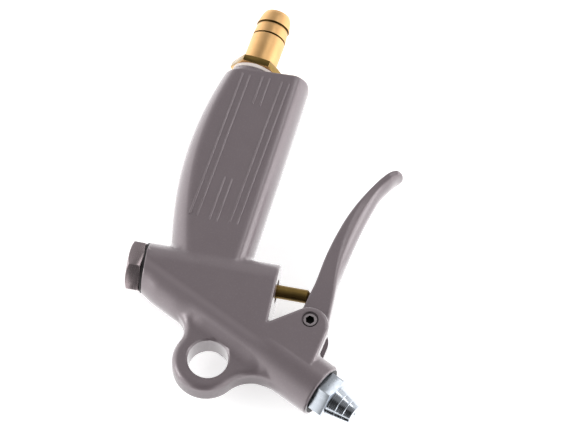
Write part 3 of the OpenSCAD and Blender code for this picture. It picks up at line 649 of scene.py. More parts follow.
    def distance(self, x, y, z):
        c = self.c
        z = np.abs(z)
        u, v = self.barrel.measure(x, y)
        form = np.minimum(self.block(x, y, z, v), self.ears(x, y, z, v))
        ear_foot = c.notch_fillet_r * smooth_share(v, *EAR_FOOT)
        form = fillet(form, self.tube(x, z, u, v), ear_foot)
        root = c.root_fillet_r * smooth_share(y, *(VALVE_Y + above for above in GRIP_ROOT))
        steep = 1 - smooth_share(z, *(c.grip_half - below for below in ROOT_STEEP))
        grip = self.grip(x, y, z)
        form = np.minimum(fillet(form, grip, root * steep), melt(form, grip, c.root_melt))
        rear_u, front_u = self.web_ends

        def within(rear, front):
            """0 past the webs' ends, and 1 from some way inside them."""
            behind = smooth_share(u, rear_u, rear_u + rear)
            return behind * smooth_share(-u, -front_u, front - front_u)

        plate = outline_distance(x, y, self.plate_outline)
        plate = corner(plate, z - RING_HALF, c.ring_edge_r)
        fillet_r = c.ring_fillet_r * within(1.5 * c.rear_web_r, c.front_web_r)
        depth = c.web_melt * np.maximum(within(WEB_END, WEB_END), WEB_MELT_LEAST)
        return np.minimum(fillet(form, plate, fillet_r), melt(form, plate, depth))


class LeverForm:
    """The squeeze lever as a distance field, before its pivot hole is cut."""

    def __init__(self, lever, barrel):
        rows = np.array(BLADE_SHARES)
        pivot = np.array(PIVOT[:2])
        back = rows[:, 0:2] * lever.reach
        front = rows[:, 2:4] * lever.reach
        out = front - back
        out /= np.linalg.norm(out, axis=1)[:, None]
        crowned = front + out * rows[:, 4:5] * LEVER_HALF
        heel = self.find_heel(lever, barrel)
        self.tip_way = Vector((sin(lever.tip_lean), cos(lever.tip_lean)))
        self.heights = (rows[:, 0] * self.tip_way.x + rows[:, 1] * self.tip_way.y) * lever.reach
        self.halves = rows[:, 5] * LEVER_HALF
        self.edge_r = lever.edge_r
        self.fullness = lever.fullness
        self.side_outline, self.crown_outline = (
            heel + smooth_path(edge + pivot) + smooth_path(back[::-1] + pivot)
            for edge in (front, crowned)
        )

    def find_heel(self, lever, barrel):
        """Round the boss, the stop toe and the straight front, in order."""
        toe_v = self.toe_height(barrel)
        toe_u = barrel.measure(PIVOT.x, PIVOT.y)[0] + lever.boss_r * TOE_AHEAD
        toe = [barrel.point(toe_u + side * TOE_HALF, toe_v) for side in (-1, 1)]
        r = lever.boss_r
        return (
            arc(PIVOT, r, pi, 1.5 * pi, 12)
            + [(p.x, p.y) for p in toe]
            + [
                (PIVOT.x + r, PIVOT.y - 0.8 * r),
                (PIVOT.x + lever.heel_front - 0.1 * r, PIVOT.y - 0.3 * r),
                (PIVOT.x + lever.heel_front, PIVOT.y + 0.1 * r),
            ]
        )

    def toe_height(self, barrel):
        """Height of the toe's sole above the barrel's centre line, read off the CAD lever."""
        points = frame["nodes"]["lever"].data.vertices
        return min(barrel.measure(p.co.x, p.co.y)[1] for p in points)

    def distance(self, x, y, z):
        z = np.abs(z)
        height = (x - PIVOT.x) * self.tip_way.x + (y - PIVOT.y) * self.tip_way.y
        half = np.interp(height, self.heights, self.halves)
        across = 1 - np.sqrt(1 - (self.fullness * np.clip(z / half, 0, 1)) ** 2)
        across = across / (1 - sqrt(1 - self.fullness ** 2))
        flat = outline_distance(x, y, self.side_outline)
        full = outline_distance(x, y, self.crown_outline)
        return corner(flat * across + full * (1 - across), z - half, self.edge_r)


def skin(form, low, high, step, turn):
    """Wraps a closed skin round a form: one point in each cell that the surface crosses, slid onto
    the surface. The grid is turned about Z, so that it follows the form's long edges."""
    rotation = np.array([[cos(turn), sin(turn), 0], [-sin(turn), cos(turn), 0], [0, 0, 1]])
    box = np.array(list(product(*zip(low, high)))) @ rotation
    low, high = box.min(0), box.max(0)
    gx, gy, gz = (low[i] + step * np.arange(int((high[i] - low[i]) / step) + 2) for i in range(3))
    gx, gy = gx[:, None, None], gy[None, :, None]
    x, y = gx * cos(turn) + gy * sin(turn), gy * cos(turn) - gx * sin(turn)
    field = form.distance(x, y, gz[None, None, :])
    inside = field < 0
    crossed = np.zeros(np.subtract(field.shape, 1), bool)
    corners = list(product((0, 1), repeat=3))
    first = cell_corners(inside, corners[0])
    for place in corners[1:]:
        crossed |= cell_corners(inside, place) != first
    cells = np.argwhere(crossed)
    points = np.zeros((len(cells), 3))
    count = np.zeros((len(cells), 1))
    for a in corners:
        for axis in range(3):
            if a[axis]:
                continue
            b = [a[i] + (i == axis) for i in range(3)]
            da = field[tuple((cells + a).T)]
            db = field[tuple((cells + b).T)]
            hit = (da < 0) != (db < 0)
            share = np.where(hit, da / np.where(hit, da - db, 1), 0)
            points += np.where(hit[:, None], np.array(a) + share[:, None] * np.subtract(b, a), 0)
            count += hit[:, None]
    points = (low + step * (cells + points / count)) @ rotation.T
    return slide(form, points, step), skin_faces(inside, crossed, len(cells))


def cell_corners(inside, place):
    """One corner of every cell of a grid."""
    return inside[tuple(slice(a, a + n - 1) for a, n in zip(place, inside.shape))]


def skin_faces(inside, crossed, count):
    """One face for each grid edge that the surface crosses, between the four cells round it."""
    place = np.full(crossed.shape, -1)
    place[crossed] = np.arange(count)
    faces = []
    for axis in range(3):
        one, two = np.eye(3, dtype=int)[[(axis + 1) % 3, (axis + 2) % 3]]
        here = np.take(inside, range(inside.shape[axis] - 1), axis)
        there = np.take(inside, range(1, inside.shape[axis]), axis)
        edges = np.argwhere(here != there)
        loop = [place[tuple((edges - m * one - n * two).T)]
                for m, n in ((0, 0), (1, 0), (1, 1), (0, 1))]
        loop = np.stack(loop, 1)
        outward = here[tuple(edges.T)]
        faces.append(np.where(outward[:, None], loop, loop[:, ::-1]))
    return np.concatenate(faces)


def slide(form, points, step):
    """Slides points along the form's steepest way until they lie on its surface."""
    nudge = step / 20
    for _ in range(3):
        d = form.distance(*points.T)
        slope = np.stack(
            [(form.distance(*(points + nudge * unit).T) - d) / nudge for unit in np.eye(3)], 1
        )
        steep = np.maximum((slope ** 2).sum(1), 0.2)
        move = np.clip(d / steep, -step / 2, step / 2)
        points = points - move[:, None] * slope
    return points


def new_piece(name, points, faces):
    """A mesh object, linked to the scene."""
    mesh = bpy.data.meshes.new(name)
    mesh.from_pydata(points, [], faces)
    mesh.validate()
    piece = bpy.data.objects.new(name, mesh)
    bpy.context.scene.collection.objects.link(piece)
    return piece


def apply_modifiers(piece):
    """Keeps what a piece's modifiers make."""
    graph = bpy.context.evaluated_depsgraph_get()
    mesh = bpy.data.meshes.new_from_object(piece.evaluated_get(graph))
    piece.modifiers.clear()
    piece.data = mesh


def combine(piece, other, operation):
    """Adds the other piece, cuts it away or keeps what both share, and deletes it."""
    step = piece.modifiers.new(operation, "BOOLEAN")
    step.operation = operation
    step.solver = "MANIFOLD"
    step.object = other
    apply_modifiers(piece)
    bpy.data.objects.remove(other)


def turned(name, place, axis, profile, facets):
    """A piece turned on a lathe: its profile is a closed loop of radius and height pairs, and it
    stands at a place along an axis."""
    along = Vector(axis).normalized()
    side = along.orthogonal().normalized()
    over = along.cross(side)
    points, faces, rings = [], [], []
    for r, h in profile:
        if r <= 0:
            rings.append([len(points)] * facets)
            points.append(tuple(Vector(place) + along * h))
            continue
        rings.append(list(range(len(points), len(points) + facets)))
        for i in range(facets):
            a = 2 * pi * i / facets
            points.append(tuple(Vector(place) + along * h + r * (side * cos(a) + over * sin(a))))
    for low, high in zip(rings, rings[1:] + rings[:1]):
        for i in range(facets):
            j = (i + 1) % facets
            face = list(dict.fromkeys((low[i], low[j], high[j], high[i])))
            if len(face) > 2:
                faces.append(face)
    return new_piece(name, points, faces)


def eased(profile, r, steps=3):
    """A profile with its corners rounded, apart from those on the axis."""
    result = []
    n = len(profile)
    for i, here in enumerate(profile):
        here = Vector(here)
        before, after = Vector(profile[i - 1]), Vector(profile[(i + 1) % n])
        if here.x <= 0:
            result.append(tuple(here))
            continue
        back, ahead = before - here, after - here
        reach = min(r, back.length / 2.2, ahead.length / 2.2)
        start = here + back.normalized() * reach
        stop = here + ahead.normalized() * reach
        for k in range(steps + 1):
            s = k / steps
            result.append(tuple((1 - s) ** 2 * start + 2 * s * (1 - s) * here + s * s * stop))
    return result


def rod(place, axis, r, h, facets=CUT_FACETS):
    """A plain cylinder to cut with."""
    return turned("rod", place, axis, [(0, 0), (r, 0), (r, h), (0, h)], facets)


def washer(name, place, axis, inner, outer, thick, ease, facets):
    """A flat ring with rounded edges."""
    return turned(name, place, axis, eased([
        (inner, 0), (outer, 0), (outer, thick), (inner, thick)
    ], ease), facets)


def hexagon_bar(name, place, axis, af, h, turn, bevel, cut):
    """A hexagon bar with its corners turned off at both ends, at an angle to the end faces, and its
    edges softened. The axis lies in the middle plane, and the turn is counted from a corner that
    points up."""
    along = Vector(axis).normalized()
    side = UP.cross(along)
    corner_r = af / 2 / cos(pi / 6)
    points = []
    for height in (0, h):
        for i in range(6):
            a = pi / 2 + turn + i * pi / 3
            points.append(tuple(
                Vector(place) + along * height + corner_r * (UP * sin(a) + side * cos(a))
            ))
    faces = [[5, 4, 3, 2, 1, 0], [6, 7, 8, 9, 10, 11]]
    faces += [[i, (i + 1) % 6, 6 + (i + 1) % 6, 6 + i] for i in range(6)]
    piece = new_piece(name, points, faces)
    turned_r = af / 2 * CORNER_START
    wide = corner_r + MM
    rise = (wide - turned_r) * tan(cut)
    cap = turned("cap", place, axis, [
        (0, 0), (turned_r, 0), (wide, rise), (wide, h - rise), (turned_r, h), (0, h)
    ], CUT_FACETS)
    combine(piece, cap, "INTERSECT")
    soften(piece, bevel)
    return piece


def soften(piece, width):
    """Rounds a piece's sharp edges."""
    step = piece.modifiers.new("soft_edges", "BEVEL")
    step.width = width
    step.segments = 2
    step.limit_method = "ANGLE"
    step.angle_limit = radians(25)
    step.use_clamp_overlap = True
    apply_modifiers(piece)


def finish_piece(piece, name, body, material, nodes, sharp=35):
    """Names a piece, shades it, gives it its finish and says what it stands for."""
    piece.name = name
    piece.data.name = name
    piece.data.shade_smooth()
    piece.data.set_sharp_from_angle(angle=radians(sharp))
    piece.data.materials.clear()
    piece.data.materials.append(material)
    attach(piece, body)
    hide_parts(*nodes)


def finish_faces(piece, material, wanted):
    """Gives another finish to the faces that pass a test."""
    piece.data.materials.append(material)
    for face in piece.data.polygons:
        if wanted(face):
            face.material_index = len(piece.data.materials) - 1


def on_flats(axis):
    """A test for the flats of a hexagon round an axis."""
    return lambda face: face.area > FLAT_AREA and abs(face.normal.dot(axis)) < 0.1


# Materials

def add_node(tree, kind, inputs=(), **options):
    """Adds a node, sets its options, and sets or links its inputs."""
    node = tree.nodes.new(kind)
    for name, value in options.items():
        setattr(node, name, value)
    for key, value in dict(inputs).items():
        if isinstance(value, bpy.types.NodeSocket):
            tree.links.new(value, node.inputs[key])
        else:
            node.inputs[key].default_value = value
    return node


def start_material(name):
    """An empty material, its node tree and the place on the piece that patterns follow."""
    material = bpy.data.materials.get(name) or bpy.data.materials.new(name)
    material.use_nodes = True
    tree = material.node_tree
    tree.nodes.clear()
    spot = add_node(tree, "ShaderNodeTexCoord").outputs["Object"]
    return material, tree, spot


def end_material(tree, shader):
    add_node(tree, "ShaderNodeOutputMaterial", {"Surface": shader.outputs[0]})


def sum_up(tree, operation, *values):
    """One sum on numbers or sockets."""
    return add_node(
        tree, "ShaderNodeMath", dict(enumerate(values)), operation=operation
    ).outputs[0]


def on_vectors(tree, operation, a, b):
    """One sum on two vectors that gives a number."""
    return add_node(
        tree, "ShaderNodeVectorMath", {0: a, 1: b}, operation=operation
    ).outputs["Value"]


def grain(tree, spot, size, detail=2.0):
    """Noise with grains of a size in metres."""
    return add_node(tree, "ShaderNodeTexNoise", {
        "Vector": spot, "Scale": 1 / size, "Detail": detail, "Roughness": 0.55
    }).outputs["Fac"]


def turning_marks(tree, spot, place, axis, pitch):
    """Fine rings that a lathe tool leaves across an axis."""
    return add_node(tree, "ShaderNodeTexNoise", {
        "W": along_line(tree, spot, place, axis), "Scale": 1 / pitch, "Detail": 3.0,
        "Roughness": 0.6
    }, noise_dimensions="1D").outputs["Fac"]


def along_line(tree, spot, place, way):
    """Distance from a place, measured along a direction."""
    from_place = add_node(tree, "ShaderNodeVectorMath", {0: spot, 1: place}, operation="SUBTRACT")
    return on_vectors(tree, "DOT_PRODUCT", from_place.outputs[0], way)


def between(tree, share, low, high):
    """A number that follows a pattern's middle range from low to high."""
    return add_node(tree, "ShaderNodeMapRange", {
        "Value": share, "From Min": 0.3, "From Max": 0.7, "To Min": low, "To Max": high
    }).outputs["Result"]


def fade(tree, value, full, gone, low=0.0, high=1.0):
    """A smooth fall from high, where a value is full, to low, where it is gone."""
    return add_node(tree, "ShaderNodeMapRange", {
        "Value": value, "From Min": full, "From Max": gone, "To Min": high, "To Max": low
    }, interpolation_type="SMOOTHSTEP").outputs["Result"]


def blend_colours(tree, share, low, high):
    """A colour that follows a 0 to 1 pattern. The first one may come from a node."""
    low = low if isinstance(low, bpy.types.NodeSocket) else (*low, 1)
    mix = add_node(tree, "ShaderNodeMix", {0: share, 6: low, 7: (*high, 1)}, data_type="RGBA")
    return mix.outputs[2]


def bump(tree, height, depth):
    """Relief of a depth in metres."""
    return add_node(tree, "ShaderNodeBump", {
        "Height": height, "Distance": depth, "Strength": 1.0
    }).outputs["Normal"]


def shade(base, factor):
    """A darker or lighter shade of a colour."""
    return [channel * factor for channel in base]


def plain_finish(name, colours, patch, roughness, relief, metallic=1.0, rings=None, **more):
    """A finish whose colour follows patches of a size and detail. Its gleam and its relief follow
    the same patches, or a lathe's rings: a place on their axis, the axis and their spacing."""
    material, tree, spot = start_material(name)
    cloud = grain(tree, spot, *patch)
    marks = turning_marks(tree, spot, *rings) if rings else cloud
    shader = add_node(tree, "ShaderNodeBsdfPrincipled", {
        "Base Color": blend_colours(tree, cloud, *colours),
        "Metallic": metallic,
        "Roughness": between(tree, marks, *roughness),
        "Normal": bump(tree, marks, relief),
        **more,
    })
    end_material(tree, shader)
    return material


def satin_coated_casting():
    """Die-cast aluminium under a satin metallic lacquer: dull on its flats, bright where a rounded
    edge turns away, with a faint orange peel and grain and slightly uneven colour. Light specks
    of 0.1 mm, drawn coarser to show, lie in it. A lighter colour along the barrel's crown line is
    a painted highlight."""
    f, c = settings().finishes, settings().casting
    material, tree, spot = start_material("satin_coated_casting")
    barrel = BarrelLine(c)
    # Painted highlight: a band along the crown line is mixed towards the lighter coating colour
    line = barrel.point(0, -c.crown_drop)
    off = sum_up(tree, "ABSOLUTE", along_line(tree, spot, line, barrel.aside))
    ahead = along_line(tree, spot, line, barrel.ahead)
    crown_highlight = sum_up(
        tree, "MULTIPLY", fade(tree, off, 0, c.crown_w), fade(tree, ahead, *CROWN_HIGHLIGHT)
    )
    specks = fade(tree, grain(tree, spot, 0.7 * MM, 1.0), 0.7, 0.56)
    cloud = sum_up(tree, "MULTIPLY_ADD", specks, 0.9, grain(tree, spot, 9 * MM, 3.0))
    flake = grain(tree, spot, 0.25 * MM)
    peel = grain(tree, spot, 1.6 * MM)
    coating = blend_colours(tree, cloud, f.coating, f.coating_worn)
    shader = add_node(tree, "ShaderNodeBsdfPrincipled", {
        "Base Color": blend_colours(tree, crown_highlight, coating, f.coating_crown_highlight),
        "Metallic": 0.35,
        "Roughness": between(tree, flake, 0.42, 0.52),
        "Normal": bump(tree, sum_up(tree, "ADD", peel, flake), 0.012 * MM),
        "Coat Weight": 0.8,
        "Coat Roughness": 0.24,
        "Coat IOR": 1.5,
    })
    end_material(tree, shader)
    return material


def passivated_steel():
    """Steel with a dark passivated skin: a dull grey gleam, with faint milling marks on its flats.
    """
    plug = settings().finishes.plug
    return plain_finish(
        "passivated_steel", (plug, shade(plug, 1.15)), patch=(3 * MM,),
        roughness=(0.22, 0.32), relief=0.006 * MM, metallic=0.85,
        rings=((0, 0, 0), AHEAD, 0.35 * MM)
    )


def turned_brass(name, place, axis, *colours):
    """Free-cutting brass off the lathe: warm, with a broad soft gleam from the fine rings that the
    tool left round its axis. Real rings are about 0.15 mm apart, and are drawn coarser to show."""
    return plain_finish(
        name, colours, patch=(5 * MM,), roughness=(0.38, 0.5), relief=0.05 * MM,
        rings=(place, axis, 0.5 * MM)
    )


def drawn_brass_painted_shade():
    """Flats of drawn hexagon bar: smooth brass that mirrors its surroundings, coloured dark brown as painted
    shade.
    """
    f = settings().finishes
    return plain_finish(
        "drawn_brass_painted_shade", (f.brass_pin_and_flat_shade, f.brass_pin_and_painted_shade), patch=(2 * MM, 3.0),
        roughness=(0.14, 0.22), relief=0.01 * MM
    )


def drawn_zinc():
    """Flats of drawn hexagon bar under zinc: duller than the turned faces, with a soft gleam."""
    zinc = settings().finishes.zinc
    return plain_finish(
        "drawn_zinc", (shade(zinc, 0.9), shade(zinc, 0.76)),
        patch=(2 * MM, 3.0), roughness=(0.26, 0.31), relief=0.003 * MM
    )


def zinc_plated_steel(place, axis):
    """Turned steel under bright zinc: a cold bluish mirror, cut by the tool's rings."""
    zinc = settings().finishes.zinc
    return plain_finish(
        "zinc_plated_steel", (zinc, shade(zinc, 0.86)), patch=(2.5 * MM,),
        roughness=(0.16, 0.28), relief=0.01 * MM, rings=(place, axis, 0.45 * MM)
    )


def ground_steel():
    """The screw's end, ground bright after blackening: grey, with a soft even gleam."""
    ground = settings().finishes.ground
    return plain_finish(
        "ground_steel", (ground, shade(ground, 0.8)), patch=(0.2 * MM, 3.0),
        roughness=(0.4, 0.5), relief=0.004 * MM, metallic=0.6
    )


def blackened_steel_and_bore_shade():
    """Steel blackened in hot oil: nearly black, with a low gleam on its edges. On the walls of the nozzle's jet
    bore it is painted shade.
    """
    blackened = settings().finishes.blackened
    return plain_finish(
        "blackened_steel_and_bore_shade", (blackened, shade(blackened, 1.4)), patch=(0.3 * MM,),
        roughness=(0.38, 0.5), relief=0.004 * MM, metallic=0.7
    )


def drawn_steel():
    """Bright spring wire: smooth, with streaks along the drawing."""
    steel = settings().finishes.steel
    return plain_finish(
        "drawn_steel", (steel, shade(steel, 0.85)), patch=(0.4 * MM,),
        roughness=(0.26, 0.36), relief=0.003 * MM
    )


def vulcanised_fibre():
    """Pressed white fibre: matt and slightly fuzzy."""
    gasket = settings().finishes.gasket
    return plain_finish(
        "vulcanised_fibre", (gasket, shade(gasket, 0.86)), patch=(0.35 * MM, 4.0),
        roughness=(0.6, 0.75), relief=0.02 * MM, metallic=0.0, IOR=1.5
    )


def nitrile_rubber():
    """Moulded black nitrile: matt, with a faint bloom."""
    rubber = settings().finishes.rubber
    return plain_finish(
        "nitrile_rubber", (rubber, shade(rubber, 1.6)), patch=(0.8 * MM, 3.0),
        roughness=(0.55, 0.7), relief=0.01 * MM, metallic=0.0, IOR=1.52
    )


# Pieces

def casting_cutters(c, f, barrel):
    """Everything that is bored or milled out of the casting."""
    mouth = RING_HALF + OVER
    flare = EYE_R + c.eye_chamfer
    yield turned("eye", -mouth * UP, UP, [
        (0, 0), (flare + OVER, 0), (EYE_R, OVER + c.eye_chamfer),
        (EYE_R, 2 * mouth - OVER - c.eye_chamfer), (flare + OVER, 2 * mouth), (0, 2 * mouth)
    ], EYE_FACETS)
    ring_rear = ends("pin_oring")[0] - PLAY
    lip = ring_rear - c.lip_t
    port_u, port_v = barrel.measure((SEAT_FRONT + lip) / 2, VALVE_Y)
    stem_foot = c.grip_len - f.barb_stem - OVER
    thread_foot = -f.recess_depth - f.nozzle_stem
    # Each bore: a place and a way, where it starts and stops along the way, and its radius
    bores = [
        (VALVE, AHEAD, CHAMBER_REAR - OVER, PLUG_TIP + PLAY, f.plug_stem_r + PLAY),
        (VALVE, AHEAD, CHAMBER_REAR, SEAT_REAR, c.chamber_bore_r),
        (VALVE, AHEAD, SEAT_REAR - OVER, SEAT_FRONT, SEAT_R),
        (VALVE, AHEAD, SEAT_FRONT - OVER, lip, c.outlet_bore_r),
        (VALVE, AHEAD, lip - OVER, ring_rear + OVER, PIN_R + c.lip_play),
        (VALVE, AHEAD, ring_rear, c.chamber_front + OVER, GUIDE_R),
        (grip_point(c, 0), GRIP_AXIS, 0, c.grip_len, f.barb_bore_r),
        (grip_point(c, 0), GRIP_AXIS, stem_foot, c.grip_len + OVER, f.barb_stem_r + PLAY),
        (barrel.point(port_u, 0), barrel.aside, 0, port_v, c.port_r),
        (barrel.end, barrel.ahead, port_u - c.port_r, 0, f.passage_r),
        (barrel.end, barrel.ahead, thread_foot, OVER, f.nozzle_stem_r + PLAY),
        (barrel.end, barrel.ahead, -f.recess_depth, OVER, f.recess_r),
    ]
    for place, way, start, stop, r in bores:
        yield rod(place + way * start, way, r, stop - start)
    slot_rear = barrel.measure(PIVOT.x, PIVOT.y)[0] - c.slot_reach
    slot = [barrel.point(u, c.slot_floor + v) for u, v in (
        (slot_rear, 0), (SLOT_OUT, 0), (SLOT_OUT, SLOT_UP), (slot_rear, SLOT_UP)
    )]
    points = [(p.x, p.y, z) for z in (-c.slot_half, c.slot_half) for p in slot]
    faces = [[3, 2, 1, 0], [4, 5, 6, 7], [0, 1, 5, 4], [1, 2, 6, 5], [2, 3, 7, 6], [3, 0, 4, 7]]
    yield new_piece("slot", points, faces)
    reach = c.flank_half + OVER
    yield rod(PIVOT - UP * reach, UP, SCREW_R + PLAY, 2 * reach, HOLE_FACETS)
    for side in (-1, 1):
        sunk = PIVOT + side * UP * (c.flank_half - c.counterbore_depth)
        yield rod(sunk, side * UP, c.counterbore_r, c.counterbore_depth + OVER, HOLE_FACETS)


def rib_bar(c, w, start, stop, side):
    """One raised rib with rounded flanks, sunk a little into the grip's flat."""
    foot = grip_point(c, 0) + GRIP_AHEAD * w
    section = [(-0.5, -1)] + [(-0.5 * cos(a), sin(a)) for a in np.linspace(0, pi, 7)] + [(0.5, -1)]
    half = c.rib_w / 2
    stations = [(start, RIB_TIP), (start + half, 1), (stop - half, 1), (stop, RIB_TIP)]
    points = []
    for t, share in stations:
        for across, height in section:
            p = foot + GRIP_AXIS * t + GRIP_AHEAD * across * c.rib_w
            rise = height * c.rib_h * (share if height > 0 else 1)
            points.append((p.x, p.y, side * (c.grip_half + rise)))
    n = len(section)
    faces = [list(range(n)), list(range(len(points) - 1, len(points) - 1 - n, -1))]
    for row in range(len(stations) - 1):
        for i in range(n):
            j = (i + 1) % n
            faces.append([row * n + j, row * n + i, (row + 1) * n + i, (row + 1) * n + j])
    if side < 0:
        faces = [face[::-1] for face in faces]
    return points, faces


def cast_ribs(c):
    """All ribs of both sides, as one piece."""
    points, faces = [], []
    for place, start, stop in RIB_SHARES:
        for pair, side in product((-1, 1), repeat=2):
            w = c.rib_middle + place * c.rib_pair_pitch + pair * c.rib_pitch / 2
            rib, rib_faces = rib_bar(c, w, start * c.grip_len, stop * c.grip_len, side)
            faces += [[i + len(points) for i in face] for face in rib_faces]
            points += rib
    return new_piece("ribs", points, faces)


class DUSTER_OT_casting(bpy.types.Operator):
    """Cast the body: grip, valve chamber, barrel, hanging ring, ears and ribs"""

    bl_idname = "duster.casting"
    bl_label = "Body casting"

    def execute(self, context):
        c, f = settings().casting, settings().fittings
        low = (CHAMBER_REAR - ROOM_REAR, -c.ring_r - ROOM_ENDS, -c.barrel_r - ROOM_SIDES)
        high_y = VALVE_Y + c.grip_len
        high = (c.barrel_end_x + ROOM_FRONT, high_y + ROOM_ENDS, c.barrel_r + ROOM_SIDES)
        piece = new_piece("casting", *skin(CastingForm(c), low, high, c.grid, GRIP_RAKE))
        combine(piece, cast_ribs(c), "UNION")
        cutters = casting_cutters(c, f, BarrelLine(c))
        cutter = next(cutters)
        for other in cutters:
            combine(cutter, other, "UNION")
        combine(piece, cutter, "DIFFERENCE")
        coated = satin_coated_casting()
        finish_piece(piece, "body_casting", "housing", coated, ["body"])
        return {"FINISHED"}


class DUSTER_OT_lever(bpy.types.Operator):
    """Cast the squeeze lever, with its crowned finger side"""

    bl_idname = "duster.lever"
    bl_label = "Squeeze lever"

    def execute(self, context):
        s = settings()
        form = LeverForm(s.lever, BarrelLine(s.casting))
        low, high = (np.array(edge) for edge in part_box("lever"))
        points, faces = skin(
            form, low - ROOM_LEVER, high + ROOM_LEVER, s.lever.grid, LEVER_GRID_TURN
        )
        piece = new_piece("lever_blade", points, faces)
        reach = LEVER_HALF + MM
        hole = rod(PIVOT - UP * reach, UP, BUSH_R, 2 * reach, HOLE_FACETS)
        combine(piece, hole, "DIFFERENCE")
        coated = satin_coated_casting()
        finish_piece(piece, "lever_blade", "squeeze_lever", coated, ["lever"])
        return {"FINISHED"}


class DUSTER_OT_plug(bpy.types.Operator):
    """Turn the hexagon plug that closes the valve chamber"""

    bl_idname = "duster.plug"
    bl_label = "Valve plug"

    def execute(self, context):
        f = settings().fittings
        rear = Vector((PLUG_REAR, VALVE_Y, 0))
        head = SEAL_REAR - PLUG_REAR
        piece = hexagon_bar(
            "plug", rear, AHEAD, f.plug_af, head, f.plug_turn, f.bevel, f.plug_cut
        )
        foot = head - ROOT
        tip = PLUG_TIP - PLUG_REAR
        cup = CHAMBER_REAR + f.cup_floor_t - PLUG_REAR
        combine(piece, turned("stem", rear, AHEAD, eased([
            (0, foot), (f.plug_stem_r, foot), (f.plug_stem_r, tip), (f.plug_cup_r, tip),
            (f.plug_cup_r, cup), (0, cup)
        ], f.bevel), f.facets), "UNION")
        steel = passivated_steel()
        finish_piece(piece, "plug_hexagon", "housing", steel, ["valve_plug"])
        return {"FINISHED"}


class DUSTER_OT_hose_tail(bpy.types.Operator):
    """Turn the grooved brass hose tail and press its gasket"""

    bl_idname = "duster.hose_tail"
    bl_label = "Hose tail and gasket"

    def execute(self, context):
        s = settings()
        f, c, finish = s.fittings, s.casting, s.finishes
        foot = grip_point(c, 0)
        base = grip_point(c, c.grip_len + f.gasket_t)
        piece = hexagon_bar(
            "tail", base, GRIP_AXIS, f.barb_af, f.barb_hex_t, pi / 6, f.bevel, f.tail_cut
        )
        low = -f.barb_stem - f.gasket_t
        h = f.barb_hex_t
        first, second, tip = (h + share * f.barb_len for share in (*GROOVE_SHARES, 1))
        r, w = TAIL_R, f.groove_w
        root = r - f.groove_depth
        sleeve = turned("sleeve", base, GRIP_AXIS, eased([
            (f.barb_bore_r, low), (f.barb_stem_r, low), (f.barb_stem_r, h / 2), (r, h / 2),
            (r, first), (root, first), (root, first + w), (r, first + w),
            (r - f.groove_depth / 2, second), (root, second), (root, second + w), (r, second + w),
            (root, tip - f.tail_chamfer), (r - f.tail_chamfer, tip), (f.barb_bore_r, tip)
        ], f.bevel), f.facets)
        bore = rod(base + GRIP_AXIS * (low - MM), GRIP_AXIS, f.barb_bore_r, h - low + 2 * MM)
        combine(piece, bore, "DIFFERENCE")
        combine(piece, sleeve, "UNION")
        brass = turned_brass(
            "turned_brass_tail", foot, GRIP_AXIS, finish.brass, finish.brass_dark
        )
        # Painted shade: the grooves' faces take darker brass for the shade that falls in them
        groove_shade = turned_brass(
            "turned_brass_groove_shade", foot, GRIP_AXIS, finish.brass_pin_and_painted_shade, finish.brass_groove_shade
        )

        def in_groove(face):
            off = face.center - base
            high = off.dot(GRIP_AXIS)
            wide = (off - high * GRIP_AXIS).length
            outside = f.barb_bore_r + MM < wide < r - f.groove_depth / 3
            return outside and h < high < second + 1.1 * w

        finish_piece(piece, "hose_tail", "housing", brass, ["hose_barb"])
        # Painted shade: the hexagon's flats take the dark brown brass
        finish_faces(piece, drawn_brass_painted_shade(), on_flats(GRIP_AXIS))
        finish_faces(piece, groove_shade, in_groove)
        gasket = washer(
            "gasket", grip_point(c, c.grip_len), GRIP_AXIS, f.barb_stem_r + PLAY,
            ends("barb_gasket", "z")[1] + f.gasket_rim, f.gasket_t, 2 * f.bevel, f.facets
        )
        fibre = vulcanised_fibre()
        finish_piece(gasket, "fibre_gasket", "housing", fibre, ["barb_gasket"])
        return {"FINISHED"}


